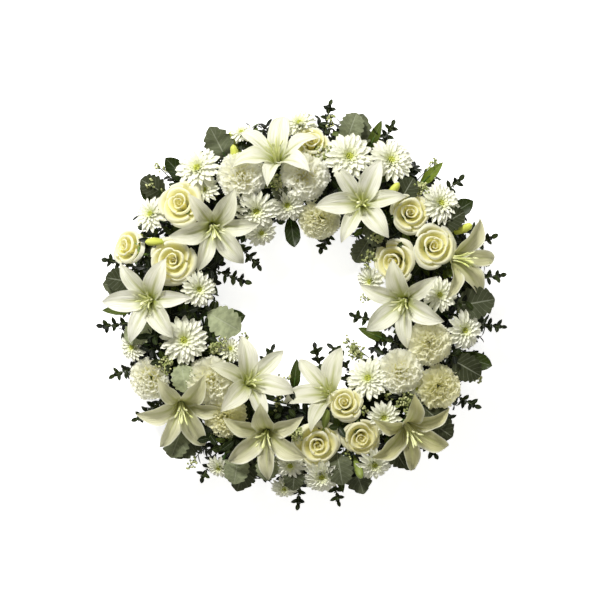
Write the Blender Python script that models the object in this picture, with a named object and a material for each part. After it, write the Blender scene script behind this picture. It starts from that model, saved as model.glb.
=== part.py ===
# A funeral wreath lying on its back: a foam ring in a plastic tray, filled with white flowers and greenery.
# All the sizes below are in millimetres; the meshes are made in metres.
# The face looks up (+Z), the top of the wreath points along +Y.
import math
import random

import bmesh
import bpy
from mathutils import Matrix, Vector
from mathutils.bvhtree import BVHTree

MM = 0.001

# The holder.
RING_R = 197.0
FOAM_INNER = 165.0
FOAM_OUTER = 230.0
FOAM_TOP = 50.0
FOAM_CHAMFER = 11.0
SEAT_GAP = 0.3
TRAY_FLOOR = 3.0
TRAY_WALL = 2.0
TRAY_HEIGHT = 14.0
RING_SIDES = 20

# The dome that the middles of the flower heads lie on.
DOME_FOOT = 40.0
DOME_RISE = 76.0
DOME_HALF = 112.0
# The share of the dome's slope that a head leans by.
LEAN_SHARE = 0.65

# Stems and their holes.
STEM_R = 2.6
STEM_FOOT_Z = 27.0
HOLE_GAP = 0.4

# What has to stay free: the hole of the wreath, the table below, and the outline.
OPENING_LOW = Vector((-66.0, -56.0, -20.0))
OPENING_HIGH = Vector((66.0, 84.0, 260.0))
LOWEST = 1.5
REACH = 306.0
SWELL = 0.35

# Lilies: place of the throat, rise above the dome, lean direction, lean, roll of the tepals.
LILIES = [
    (-134, 116, 12, -60, 18, 6),
    (-38, 219, 10, 100, 38, 20),
    (90, 152, 16, 135, 8, 5),
    (231, 69, 8, -5, 42, 0),
    (154, 4, 14, 220, 18, 40),
    (-230, 6, 16, 190, 10, 5),
    (-182, -154, 12, -75, 28, 0),
    (-80, -118, 12, 45, 19, 45),
    (-54, -195, 14, -110, 20, 35),
    (42, -135, 8, 130, 28, 10),
    (159, -186, 12, -60, 34, 30),
]

# Roses: place, radius, rise above the dome.
ROSES = [
    (-186, 153, 34, 16),
    (-272, 88, 29, 2),
    (-195, 66, 35, 6),
    (164, 138, 30, 6),
    (200, 88, 33, 6),
    (135, 62, 33, 2),
    (63, -146, 26, 9),
    (24, -213, 35, 4),
    (90, -203, 28, 2),
    (14, 248, 28, 4),
]

# Carnations: place, radius, rise above the dome.
CARNATIONS = [
    (-92, 196, 36, 4),
    (3, 192, 38, 4),
    (24, 120, 32, 0),
    (-238, -117, 32, 2),
    (-135, -114, 37, 4),
    (-116, -170, 32, -4),
    (146, -100, 34, 4),
    (192, -58, 34, 4),
    (212, -129, 34, 2),
]

# Spray chrysanthemums, one row for each forked stem: the heads' places, radii and rises above the dome.
SPRAYS = [
    [(-160, 208, 38, 4), (-149, 174, 25, -10)],
    [(-232, 138, 30, 0)],
    [(-4, 278, 30, 0), (-93, 264, 20, -4)],
    [(72, 224, 40, 4), (136, 220, 38, 2)],
    [(212, 154, 35, 2)],
    [(-153, 22, 30, 2)],
    [(-177, -54, 38, 2), (-260, -66, 25, 0)],
    [(-68, 138, 34, 2), (-22, 147, 30, 0), (-60, 105, 27, 0)],
    [(208, 14, 29, 0), (248, -40, 32, 0)],
    [(98, -110, 36, 2)],
    [(124, -172, 29, -6), (174, -128, 16, -4)],
    [(111, -246, 30, 0)],
    [(30, -264, 32, 0), (-18, -246, 27, 0), (-27, -284, 23, -4)],
    [(99, 33, 27, 2)],
    [(-106, -66, 22, 0)],
    [(-128, -252, 22, 0)],
]

PAINTS = {
    "tray": ((0.030, 0.060, 0.035), 0.45),
    "foam": ((0.055, 0.160, 0.070), 0.95),
    "lily": ((0.820, 0.800, 0.690), 0.50),
    "rose": ((0.800, 0.730, 0.520), 0.55),
    "carnation": ((0.840, 0.830, 0.720), 0.60),
    "chrysanthemum": ((0.860, 0.860, 0.780), 0.55),
    "foliage": ((0.045, 0.120, 0.030), 0.45),
}

NODES = []
TAKEN = []


class Solid:
    """One closed body: points in millimetres and triangles that face out."""

    def __init__(self, points, faces):
        self.points = [Vector(p) for p in points]
        triangles = []
        for face in faces:
            for k in range(1, len(face) - 1):
                triangles.append((face[0], face[k], face[k + 1]))
        if self.volume(triangles) < 0:
            triangles = [(a, c, b) for a, b, c in triangles]
        self.faces = triangles

    def volume(self, triangles):
        total = 0.0
        for a, b, c in triangles:
            total += self.points[a].dot(self.points[b].cross(self.points[c]))
        return total / 6

    def swollen(self, by):
        normals = [Vector() for _ in self.points]
        for a, b, c in self.faces:
            normal = (self.points[b] - self.points[a]).cross(self.points[c] - self.points[a])
            for k in (a, b, c):
                normals[k] += normal
        return [p + n.normalized() * by for p, n in zip(self.points, normals)]


def corners(points):
    low = Vector([min(p[k] for p in points) for k in range(3)])
    high = Vector([max(p[k] for p in points) for k in range(3)])
    return low, high


class Skin:
    """Points and faces of one body while petals are raised from its surface."""

    def __init__(self):
        self.points = []
        self.faces = []

    def put(self, points):
        start = len(self.points)
        self.points += points
        return list(range(start, len(self.points)))

    def face(self, *corner_list):
        kept = [c for k, c in enumerate(corner_list) if c != corner_list[k - 1]]
        if len(set(kept)) > 2:
            self.faces.append(tuple(kept))

    def stitch(self, a, b, upper):
        """Fill the strip between two lines of points, of any counts."""
        i = j = 0
        while i < len(a) - 1 or j < len(b) - 1:
            next_a = (i + 0.5) / (len(a) - 1) if i < len(a) - 1 else 2
            next_b = (j + 0.5) / (len(b) - 1) if j < len(b) - 1 else 2
            if next_b <= next_a:
                triangle = (a[i], b[j], b[j + 1])
                j += 1
            else:
                triangle = (a[i], b[j], a[i + 1])
                i += 1
            self.face(*(triangle if upper else reversed(triangle)))

    def grow(self, low, up, stages):
        """Raise a blade from a facet. A stage is its lower and its upper line; a last None is a sharp rim."""
        for points_low, points_up in stages:
            next_low = self.put(points_low)
            next_up = self.put(points_up) if points_up else next_low
            self.stitch(low, next_low, False)
            self.stitch(up, next_up, True)
            self.face(low[0], next_low[0], next_up[0], up[0])
            self.face(low[-1], up[-1], next_up[-1], next_low[-1])
            low, up = next_low, next_up
        if low is not up:
            self.face(*(low + up[::-1]))

    def turned(self, radius, height, sides, turn):
        return self.put([polar(radius, turn + 360 * i / sides, height) for i in range(sides)])

    def band(self, low, high, twist=False):
        """Close the strip between two rings; a twisted one has its upper ring turned by half a step."""
        count = len(low)
        for i in range(count):
            j = (i + 1) % count
            if twist:
                self.face(low[i], low[j], high[i])
                self.face(low[j], high[j], high[i])
            else:
                self.face(low[i], low[j], high[j], high[i])

    def solid(self, place=None):
        return Solid([place @ p for p in self.points] if place else self.points, self.faces)


class Node:
    """One named piece of the wreath, made of solids that are joined at the end."""

    def __init__(self, name, paint):
        self.name = name
        self.paint = paint
        self.solids = []
        NODES.append(self)

    def add(self, *solids):
        self.solids += solids
        self.claim(*solids)

    def claim(self, *solids, head=None):
        """Keep the other nodes, and the other heads of this one, out of this space."""
        for solid in solids:
            low, high = corners(solid.points)
            TAKEN.append(((self, head), low, high, BVHTree.FromPolygons(solid.points, solid.faces)))


def boxes_meet(low_a, high_a, low_b, high_b):
    return all(low_a[k] <= high_b[k] and low_b[k] <= high_a[k] for k in range(3))


def is_clear(solid, node, head=None):
    points = solid.swollen(SWELL)
    low, high = corners(points)
    if low.z < LOWEST or max(-low.x, -low.y, high.x, high.y) > REACH:
        return False
    tree = None
    for (other, other_head), other_low, other_high, other_tree in TAKEN:
        if other is node and (head is None or other_head is None or other_head == head):
            continue
        if not boxes_meet(low, high, other_low, other_high):
            continue
        if tree is None:
            tree = BVHTree.FromPolygons(points, solid.faces)
        if tree.overlap(other_tree):
            return False
    return True


def polar(radius, azimuth, height=0.0):
    angle = math.radians(azimuth)
    return Vector((radius * math.cos(angle), radius * math.sin(angle), height))


def raise_petal(node, place, skin, low, up, make, bends, scales=(1.0, 0.84, 0.68, 0.52), head=None):
    """Raise the first version of a petal that stays clear of the other nodes: bent first, then shortened."""
    for scale in scales:
        for bend in bends:
            stages = make(bend, scale)
            trial = Skin()
            trial_low = trial.put([skin.points[k] for k in low])
            trial_up = trial.put([skin.points[k] for k in up])
            trial.face(*reversed(trial_low + trial_up[::-1]))
            trial.grow(trial_low, trial_up, stages)
            solid = trial.solid(place)
            if is_clear(solid, node, head):
                node.claim(solid, head=head)
                skin.grow(low, up, stages)
                return
    skin.face(*(low + up[::-1]))


def frame(origin, lean_to, lean):
    """A frame whose Z is the flower's axis and whose X follows the world's X."""
    axis = polar(math.sin(math.radians(lean)), lean_to, math.cos(math.radians(lean)))
    side = (Vector((1, 0, 0)) - axis * axis.x).normalized()
    fore = axis.cross(side)
    matrix = Matrix((side, fore, axis)).transposed().to_4x4()
    matrix.translation = origin
    return matrix


def rod(path, radii, sides):
    """A stem along a few points."""
    skin = Skin()
    rings = []
    for k, point in enumerate(path):
        along = (path[min(k + 1, len(path) - 1)] - path[max(k - 1, 0)]).normalized()
        side = along.cross(Vector((0.31, 0.17, 0.94))).normalized()
        up = along.cross(side)
        ring = []
        for i in range(sides):
            angle = 2 * math.pi * i / sides
            ring.append(point + (side * math.cos(angle) + up * math.sin(angle)) * radii[k])
        rings.append(skin.put(ring))
    for k in range(len(rings) - 1):
        skin.band(rings[k], rings[k + 1])
    skin.face(*reversed(rings[0]))
    skin.face(*rings[-1])
    return skin.solid()


def ring_body(profile, sides):
    """A ring with a closed (radius, height) section."""
    count = len(profile)
    points = []
    faces = []
    for k in range(sides):
        for radius, height in profile:
            points.append(polar(radius, 360 * k / sides, height))
    for k in range(sides):
        for i in range(count):
            j = (i + 1) % count
            m = (k + 1) % sides
            faces.append((k * count + i, m * count + i, m * count + j, k * count + j))
    return Solid(points, faces)


def crown_height(x, y):
    offset = (math.hypot(x, y) - RING_R) / DOME_HALF
    return DOME_FOOT + DOME_RISE * math.sqrt(max(0.0, 1 - offset * offset))


def dome_lean(x, y):
    """The direction and the angle in which a head on the dome looks out."""
    offset = math.hypot(x, y) - RING_R
    azimuth = math.degrees(math.atan2(y, x))
    lean = LEAN_SHARE * math.degrees(math.atan2(offset, crown_height(x, y) - DOME_FOOT))
    return (azimuth, lean) if lean > 0 else (azimuth + 180, -lean)


def head_frame(x, y, rise, height):
    """The frame at the base of a head whose front, at this height, is at x, y on the dome."""
    lean_to, lean = dome_lean(x, y)
    front = frame(Vector((x, y, crown_height(x, y) + rise)), lean_to, lean)
    return front @ Matrix.Translation((0, 0, -height))


def stem_foot(x, y):
    """Where a stem under x, y ends in the foam."""
    offset = max(-70.0, min(70.0, math.hypot(x, y) - RING_R))
    azimuth = math.degrees(math.atan2(y, x))
    return polar(RING_R + 0.3 * offset, azimuth, STEM_FOOT_Z)


HOLES = []
STEM_SIDES = 3


def stem(node, path, radius=STEM_R):
    """A stem whose first point is its foot in the foam, and the hole that it stands in."""
    node.add(rod(path, [radius] * len(path), STEM_SIDES))
    along = (path[1] - path[0]).normalized()
    wide = radius + HOLE_GAP / math.cos(math.pi / STEM_SIDES)
    HOLES.append(rod([path[0] - along * HOLE_GAP, path[0] + along * 46], [wide, wide], STEM_SIDES))


# Holder.

def make_holder():
    inner = FOAM_INNER - SEAT_GAP
    outer = FOAM_OUTER + SEAT_GAP
    tray = Node("tray", "tray")
    tray.add(ring_body([
        (inner - TRAY_WALL, 0), (outer + TRAY_WALL, 0), (outer + TRAY_WALL, TRAY_HEIGHT), (outer, TRAY_HEIGHT),
        (outer, TRAY_FLOOR), (inner, TRAY_FLOOR), (inner, TRAY_HEIGHT), (inner - TRAY_WALL, TRAY_HEIGHT)], RING_SIDES))
    foam = Node("foam_ring", "foam")
    foot = TRAY_FLOOR + SEAT_GAP
    foam.solids.append(ring_body([
        (FOAM_INNER, foot), (FOAM_OUTER, foot), (FOAM_OUTER, FOAM_TOP - FOAM_CHAMFER),
        (FOAM_OUTER - FOAM_CHAMFER, FOAM_TOP), (FOAM_INNER + FOAM_CHAMFER, FOAM_TOP),
        (FOAM_INNER, FOAM_TOP - FOAM_CHAMFER)], RING_SIDES))
    return foam


# Lilies.

LILY_LENGTH = 83.0
LILY_HEIGHT = 40.0
LILY_THROAT = 15.0
LILY_TEPALS = 6
# Along a tepal: share of its length, share of its half width.
TEPAL_STATIONS = [(0.36, 0.52), (0.60, 1.0), (0.85, 0.66)]


def curl(length, start, end, fraction):
    """Radius, height and slope along an arc that leaves the axis at angle start and ends at angle end."""
    steps = 12
    radius = 0.0
    height = 0.0
    for k in range(steps):
        angle = math.radians(start + (end - start) * fraction * (k + 0.5) / steps)
        radius += math.sin(angle) * length * fraction / steps
        height += math.cos(angle) * length * fraction / steps
    return radius, height, math.radians(start + (end - start) * fraction)


def tepal_stages(azimuth, width, bend, scale):
    start, end = 22.0, 102.0 - bend
    side = polar(1, azimuth + 90)
    out = polar(1, azimuth)
    stages = []
    for fraction, spread in TEPAL_STATIONS:
        radius, height, angle = curl(LILY_LENGTH * scale, start, end, fraction)
        middle = out * (radius + 2) + Vector((0, 0, height + 2))
        up = out * -math.cos(angle) + Vector((0, 0, math.sin(angle)))
        half = width * spread * (0.5 + 0.5 * scale)
        lift = up * half * 0.28
        stages.append(([middle - side * half + lift, middle - up * 1.1, middle + side * half + lift],
                       [middle + up * 1.1]))
    radius, height, angle = curl(LILY_LENGTH * scale, start, end, 1.0)
    stages.append(([out * (radius + 2) + Vector((0, 0, height + 2))], None))
    return stages


def lily_core():
    """The throat, open at its side, where the tepals grow, and at its top, where the filaments grow."""
    skin = Skin()
    rings = [skin.turned(radius, height, LILY_TEPALS, 0) for radius, height in ((3.6, -7), (5.5, 1), (7, 8))]
    skin.face(*reversed(rings[0]))
    skin.band(rings[0], rings[1])
    return skin, rings[1], rings[2]


def make_lily(index, row):
    x, y, rise, lean_to, lean, roll = row
    node = Node("lily_%02d" % index, "lily")
    place = frame(Vector((x, y, 0)), lean_to, lean)
    axis = place.to_3x3() @ Vector((0, 0, 1))
    place.translation = Vector((x - axis.x * LILY_THROAT, y - axis.y * LILY_THROAT,
                                crown_height(x, y) + rise - axis.z * LILY_HEIGHT))
    node.place = place @ Matrix.Rotation(math.radians(roll - 30), 4, "Z")
    skin, low, high = lily_core()
    skin.band(low, high)
    skin.face(*high)
    node.claim(skin.solid(node.place))
    foot = stem_foot(place.translation.x, place.translation.y)
    stem(node, [foot, node.place @ Vector((0, 0, -5.5))])
    return node


def dress_lily(node, rng):
    skin, low, high = lily_core()
    for k in range(LILY_TEPALS):
        j = (k + 1) % LILY_TEPALS
        azimuth = 30 + 60 * k + rng.uniform(-3, 3)
        width = 18.0 if k % 2 else 14.0
        raise_petal(node, node.place, skin, [low[k], low[j]], [high[k], high[j]],
                    lambda bend, scale: tepal_stages(azimuth, width, bend, scale), (0, 8, -8, 16, 26, 38),
                    (1.0, 0.84, 0.68))
    centre = skin.put([Vector((0, 0, 6))])[0]
    for k in range(LILY_TEPALS):
        j = (k + 1) % LILY_TEPALS
        radius, height = (7, 60) if k == 4 else (14, 52)
        tip = polar(radius, 30 + 60 * k, height)
        raise_petal(node, node.place, skin, [high[k], high[j]], [centre],
                    lambda bend, scale: [([tip.lerp(Vector((0, 0, 10)), 1 - scale)], None)], (0,), (1.0, 0.7, 0.4))
    node.solids.insert(0, skin.solid(node.place))


# Roses.

ROSE_HEIGHT = 45.0
ROSE_SIDES = 5
# Rings of the hip and heart: share of the radius, height, turn in half steps.
ROSE_RINGS = [(0.17, 0, 0), (0.36, 10, 0), (0.37, 14, 0), (0.31, 17, 1), (0.31, 21, 1), (0.20, 25, 2), (0.18, 29, 2)]
# Rows of petals: lower ring, middle radius and height, rim radius and height, half spans, lean of the edges.
ROSE_ROWS = [(1, 0.80, 23, 1.00, 35, 34, 43, 0.06), (3, 0.52, 31, 0.64, 42, 34, 42, 0.05),
             (5, None, None, 0.24, 44, None, 33, 0.03)]


def rose_petal(azimuth, unit, row):
    lower_ring, mid_radius, mid_height, rim_radius, rim_height, mid_span, rim_span, lean = row

    def line(radius, height, span, shift, sag):
        points = []
        for k in (-1, 0, 1):
            points.append(polar(unit * (radius + lean * k) + shift, azimuth + span * k, height - sag * abs(k)))
        return points

    rim = (line(rim_radius, rim_height, rim_span, 0, 4), None)
    if mid_radius is None:
        return [rim]
    return [(line(mid_radius, mid_height, mid_span, 0.9, 2), line(mid_radius, mid_height, mid_span, -0.9, 2)), rim]


def make_rose(index, row, rng):
    x, y, radius, rise = row
    node = Node("rose_%02d" % index, "rose")
    place = head_frame(x, y, rise, ROSE_HEIGHT)
    skin = Skin()
    step = 360 / ROSE_SIDES
    start = rng.uniform(0, step)
    rings = [skin.turned(radius * share, height, ROSE_SIDES, start + turn * step / 2)
             for share, height, turn in ROSE_RINGS]
    skin.face(*reversed(rings[0]))
    skin.band(rings[0], rings[1])
    skin.band(rings[2], rings[3], True)
    skin.band(rings[4], rings[5], True)
    for petals in ROSE_ROWS:
        low, high = rings[petals[0]], rings[petals[0] + 1]
        for k in range(ROSE_SIDES):
            j = (k + 1) % ROSE_SIDES
            azimuth = start + (k + 0.5) * step + ROSE_RINGS[petals[0]][2] * step / 2
            skin.grow([low[k], low[j]], [high[k], high[j]], rose_petal(azimuth, radius, petals))
    top = skin.put([Vector((0, 0, 33))])[0]
    for k in range(ROSE_SIDES):
        skin.face(rings[-1][k], rings[-1][(k + 1) % ROSE_SIDES], top)
    node.add(skin.solid(place))
    stem(node, [stem_foot(x, y), place @ Vector((0, 0, 1.5))])
    return node


# Carnations.

CARNATION_HEIGHT = 42.0
CARNATION_SIDES = 7
CARNATION_RINGS = [(5.0, 0, 0), (12.0, 22, 0), (13.0, 25, 0), (11.0, 27, 1), (9.5, 30, 1), (7.0, 31, 2), (5.0, 33, 2)]
# Rows of petals: lower ring, angle above the head's base plane, length as a share of the radius,
# points on the rim, bends to try.
CARNATION_ROWS = [(1, 4, 1.0, 5, (0, 9, 18, -10, -20)), (3, 36, 0.86, 3, (0, 8, 16)), (5, 66, 0.62, 2, (0, 8, -8))]


def carnation_petal(azimuth, root, rise, length, count, phase):
    half = 0.46 * 360 / CARNATION_SIDES
    rim = []
    for k in range(count):
        wave = 2.8 if (k + phase) % 2 else -2.8
        reach = length * (1.0 if k % 2 else 0.93)
        angle = math.radians(rise)
        turn = half * (2 * k / (count - 1) - 1)
        rim.append(polar(root.x + reach * math.cos(angle) - wave * math.sin(angle), azimuth + turn,
                         root.z + reach * math.sin(angle) + wave * math.cos(angle)))
    return [(rim, None)]


def carnation_core(plain):
    skin = Skin()
    step = 360 / CARNATION_SIDES
    rings = [skin.turned(radius, height, CARNATION_SIDES, turn * step / 2) for radius, height, turn in CARNATION_RINGS]
    skin.face(*reversed(rings[0]))
    skin.band(rings[0], rings[1])
    skin.band(rings[2], rings[3], True)
    skin.band(rings[4], rings[5], True)
    top = skin.put([Vector((0, 0, 34))])[0]
    for k in range(CARNATION_SIDES):
        skin.face(rings[-1][k], rings[-1][(k + 1) % CARNATION_SIDES], top)
    if plain:
        for k in (1, 3, 5):
            skin.band(rings[k], rings[k + 1])
    return skin, rings


def make_carnation(index, row, rng):
    x, y, radius, rise = row
    node = Node("carnation_%02d" % index, "carnation")
    node.place = head_frame(x, y, rise, CARNATION_HEIGHT) @ Matrix.Rotation(rng.uniform(0, 6.28), 4, "Z")
    node.radius = radius
    node.claim(carnation_core(True)[0].solid(node.place))
    stem(node, [stem_foot(x, y), node.place @ Vector((0, 0, 1.5))])
    return node


def dress_carnation(node):
    skin, rings = carnation_core(False)
    step = 360 / CARNATION_SIDES
    for lower, rise, share, count, bends in CARNATION_ROWS:
        low, high = rings[lower], rings[lower + 1]
        for k in range(CARNATION_SIDES):
            j = (k + 1) % CARNATION_SIDES
            azimuth = (k + 0.5 + CARNATION_RINGS[lower][2] / 2) * step
            root = Vector((CARNATION_RINGS[lower][0], 0, CARNATION_RINGS[lower][1] + 1.5))
            length = node.radius * share - root.x * math.cos(math.radians(rise))
            raise_petal(node, node.place, skin, [low[k], low[j]], [high[k], high[j]],
                        lambda bend, scale: carnation_petal(
                            azimuth, root, rise + bend, length * scale, count, k), bends)
    node.solids.insert(0, skin.solid(node.place))


# Spray chrysanthemums.

MUM_HEIGHT = 20.0


def ray_stages(azimuth, root, length, span, thick, tilt_deg, keeled):
    """A narrow petal from the disc out to its length; an outer one has its ridge above, an inner one its keel below."""
    tilt = math.radians(tilt_deg)
    reach = length - root.x

    def at(fraction, angle, above):
        return polar(root.x + reach * fraction * math.cos(tilt) - above * math.sin(tilt), azimuth + angle,
                     root.z + reach * fraction * math.sin(tilt) + above * math.cos(tilt))

    edges = [at(0.64, -span, 0), at(0.64, span, 0)]
    ridge = [at(0.60, 0, -thick if keeled else thick)]
    if keeled:
        return [(ridge, edges), ([at(1.0, 0, 0)], None)]
    return [(edges, ridge), ([at(1.0, 0, -0.5)], None)]


def mum_core(radius, sides, plain):
    skin = Skin()
    rings = [skin.turned(3.4, 0, sides, 0), skin.turned(radius * 0.26, 8, sides, 0),
             skin.turned(radius * 0.24, 13, sides, 180 / sides)]
    skin.face(*reversed(rings[0]))
    skin.band(rings[0], rings[1])
    top = skin.put([Vector((0, 0, 15))])[0]
    for k in range(sides):
        skin.face(rings[2][k], rings[2][(k + 1) % sides], top)
    if plain:
        skin.band(rings[1], rings[2], True)
    return skin, rings[1], rings[2]


def mum_sides(radius):
    return 8 if radius > 34 else 7 if radius > 28 else 6


def make_spray(index, rows, rng):
    node = Node("chrysanthemum_%02d" % index, "chrysanthemum")
    node.heads = []
    for head, (x, y, radius, rise) in enumerate(rows):
        place = head_frame(x, y, rise, MUM_HEIGHT) @ Matrix.Rotation(rng.uniform(0, 6.28), 4, "Z")
        node.heads.append((place, radius))
        node.claim(mum_core(radius, mum_sides(radius), True)[0].solid(place), head=head)
    bases = [place @ Vector((0, 0, 1.5)) for place, radius in node.heads]
    if len(bases) == 1:
        foot = stem_foot(rows[0][0], rows[0][1])
        stem(node, [foot, bases[0]], 2.3)
    else:
        middle = sum(bases, Vector()) / len(bases)
        foot = stem_foot(middle.x, middle.y)
        fork = foot.lerp(middle, 0.55)
        fork.z = max(fork.z, FOAM_TOP + 6)
        stem(node, [foot, fork])
        for base in bases:
            node.add(rod([fork - (base - fork).normalized() * 1.5, base], [2.2, 2.2], STEM_SIDES))
    return node


def dress_spray(node, rng):
    for head, (place, radius) in enumerate(node.heads):
        sides = mum_sides(radius)
        step = 360 / sides
        skin, low, high = mum_core(radius, sides, False)
        for k in range(sides):
            j = (k + 1) % sides
            azimuth = (k + 0.5) * step + rng.uniform(-2, 2)
            length = radius * rng.uniform(0.94, 1.04)
            root = Vector((radius * 0.25, 0, 9.5))
            raise_petal(node, place, skin, [low[k], low[j]], [high[k]], lambda bend, scale: ray_stages(
                azimuth, root, length * scale, step * 0.34, 2.0, bend, False), (3, -6, 10, -14), head=head)
        for k in range(sides):
            j = (k + 1) % sides
            azimuth = (k + 1.0) * step + rng.uniform(-2, 2)
            length = radius * rng.uniform(0.68, 0.78)
            root = Vector((radius * 0.25, 0, 11.5))
            raise_petal(node, place, skin, [low[j]], [high[k], high[j]], lambda bend, scale: ray_stages(
                azimuth, root, length * scale, step * 0.34, 2.0, bend, True), (24, 32, 42, 52), head=head)
        node.solids.insert(0, skin.solid(place))


# Foliage.

# Kinds of greenery: length, and half widths along it as shares of the length; the first station is its base.
LEAVES = {
    "scalloped": (56.0, [(0.0, 0.03), (0.26, 0.30), (0.48, 0.19), (0.70, 0.24)]),
    "broad": (62.0, [(0.0, 0.03), (0.40, 0.22), (0.78, 0.13)]),
    "slim": (50.0, [(0.0, 0.03), (0.45, 0.16)]),
}
BOXWOOD_LENGTH = 50.0
BOXWOOD_LEAF = 11.0
FILLER_LENGTH = 40.0
BUD_LENGTH = 36.0
TWIG_R = 1.1
ARC_R = 2.2
ARC_Z = 24.0
OUTER_ARC = 240.0
INNER_ARC = 155.0
OUTER_BUNCHES = 7
# How far a tip may rise above the leafy stem, in the order in which the heights are tried.
HEIGHTS = (46, 36, 56, 26, 66, 16, 6, -4)
BUD_HEIGHTS = (70, 62, 54, 46, 36, 26)
INNER_BUNCHES = 4

# Greenery round the outside: kind and the place of its middle.
OUTER_GREENS = [
    ("scalloped", -127, 244), ("scalloped", 84, 262), ("scalloped", 262, 4), ("scalloped", 165, -243),
    ("scalloped", 88, -271), ("scalloped", -182, -220), ("scalloped", -90, -258), ("scalloped", -280, 28),
    ("broad", -235, 171), ("broad", -198, 212), ("broad", 246, 148), ("broad", 267, -87), ("broad", 214, -189),
    ("slim", -280, -9), ("slim", 111, 256), ("slim", 57, -262),
    ("slim", 202, 203), ("slim", -244, -40),
    ("boxwood", -55, 275), ("boxwood", 39, 282), ("boxwood", 126, 249),
    ("boxwood", 224, 176), ("boxwood", 266, 93), ("boxwood", 280, 40), ("boxwood", 280, -32),
    ("boxwood", 240, -142), ("boxwood", 190, -215), ("boxwood", 51, -280), ("boxwood", -5, -283),
    ("boxwood", -140, -244), ("boxwood", -232, -162), ("boxwood", -264, -100),
    ("boxwood", -284, -32), ("boxwood", -276, 62), ("boxwood", -258, 130),
    ("filler", -205, 196), ("filler", -217, 171), ("filler", 192, 206), ("filler", 200, -178),
    ("filler", 255, -108), ("filler", -66, -264), ("filler", -160, -232), ("filler", 42, 264), ("filler", 268, 60),
    ("bud", -238, 97), ("bud", -102, 246), ("bud", 160, 212), ("bud", 240, 112), ("bud", 84, -246),
]

# Greenery round the hole.
INNER_GREENS = [
    ("boxwood", -111, 43), ("boxwood", -82, 81), ("boxwood", 46, 98), ("boxwood", 27, -92), ("boxwood", 62, -88),
    ("boxwood", 104, -24), ("boxwood", -60, -92), ("broad", -15, 112), ("broad", -116, -24), ("slim", 88, 66),
    ("filler", 112, 10), ("filler", 82, -66), ("filler", -100, -58), ("slim", -10, -108), ("slim", 108, -46),
    ("bud", -108, -82), ("bud", 30, -146), ("filler", 100, 84),
]


def blade(path, halves, thick, up):
    """A leaf with sharp edges along a path, thickest along its rib."""
    skin = Skin()
    stages = []
    for k, half in enumerate(halves):
        along = (path[k + 1] - path[max(k - 1, 0)]).normalized()
        right = up.cross(along).normalized()
        over = along.cross(right)
        lift = over * half * 0.22
        stages.append(([path[k] - right * half + lift, path[k] - over * thick, path[k] + right * half + lift],
                       [path[k] + over * thick]))
    low = skin.put(stages[0][0])
    high = skin.put(stages[0][1])
    skin.face(*reversed(low + high[::-1]))
    skin.grow(low, high, stages[1:] + [([path[len(halves)]], None)])
    return skin.solid()


def shoot(path, radii, sides):
    """A stem of changing width that ends in a point; its rings may be wider one way than the other."""
    skin = Skin()
    rings = []
    for k, (wide, thin) in enumerate(radii):
        along = (path[k + 1] - path[max(k - 1, 0)]).normalized()
        right = Vector((0, 0, 1)).cross(along).normalized()
        over = along.cross(right)
        ring = []
        for i in range(sides):
            angle = 2 * math.pi * i / sides
            ring.append(path[k] + right * math.cos(angle) * wide + over * math.sin(angle) * thin)
        rings.append(skin.put(ring))
    for k in range(len(rings) - 1):
        skin.band(rings[k], rings[k + 1])
    skin.face(*reversed(rings[0]))
    tip = skin.put([path[len(radii)]])[0]
    for i in range(sides):
        skin.face(rings[-1][i], rings[-1][(i + 1) % sides], tip)
    return skin.solid()


def green(kind, start, base, tip):
    """One leaf, sprig, filler spray or bud on its twig: from start, by base, to tip."""
    def at(fraction):
        return base.lerp(tip, fraction)

    up = Vector((0, 0, 1))
    if kind in LEAVES:
        length, stations = LEAVES[kind]
        span = (tip - base).length
        path = [start] + [at(fraction) for fraction, half in stations] + [tip]
        droop = Vector((0, 0, span * 0.10))
        path[2] = path[2] + droop
        return blade(path, [TWIG_R] + [max(TWIG_R, half * span) for fraction, half in stations], 1.0, up)
    if kind == "boxwood":
        leaf = BOXWOOD_LEAF
        radii = [(TWIG_R, TWIG_R), (leaf, 1.2), (TWIG_R, TWIG_R), (1.2, leaf * 0.8), (TWIG_R, TWIG_R),
                 (leaf * 0.7, 1.2)]
        return shoot([start] + [at(f) for f in (0.15, 0.34, 0.52, 0.68, 0.84, 1.0)], radii, 4)
    if kind == "filler":
        radii = [(0.9, 0.9), (0.9, 0.9), (3.4, 3.4), (0.9, 0.9), (3.6, 3.6)]
        return shoot([start] + [at(f) for f in (0.36, 0.52, 0.7, 0.86, 1.0)], radii, 3)
    radii = [(1.6, 1.6), (1.8, 1.8), (6.0, 6.0), (5.0, 5.0)]
    return shoot([start] + [at(f) for f in (0.0, 0.4, 0.75, 1.0)], radii, 4)


def green_length(kind):
    if kind in LEAVES:
        return LEAVES[kind][0]
    return {"boxwood": BOXWOOD_LENGTH, "filler": FILLER_LENGTH, "bud": BUD_LENGTH}[kind]


def place_green(node, kind, x, y, arc, outwards, rng):
    """Put one piece of greenery where it is clear, by raising it, turning it or shortening it."""
    radius = math.hypot(x, y)
    azimuth = math.degrees(math.atan2(y, x))
    rise = rng.uniform(-3, 3)
    for scale in (1.0, 0.85, 0.7):
        length = green_length(kind) * scale
        far = radius + outwards * length / 2
        far = min(far, REACH - 2.5) if outwards > 0 else max(far, 60)
        near = far - outwards * length
        for shift in (0, 3, -3, 6, -6, 9, -9):
            for height in BUD_HEIGHTS if kind == "bud" else HEIGHTS:
                near_fit = max(near, arc + 4) if outwards > 0 else min(near, arc - 4)
                start = polar(arc, azimuth + shift * 0.5, ARC_Z)
                base = polar(near_fit, azimuth + shift * 0.7, ARC_Z + 6 + height * 0.65 + rise)
                tip = polar(far, azimuth + shift, ARC_Z + 10 + height + rise)
                solid = green(kind, start, base, tip)
                if is_clear(solid, node):
                    node.add(solid)
                    return


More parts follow.
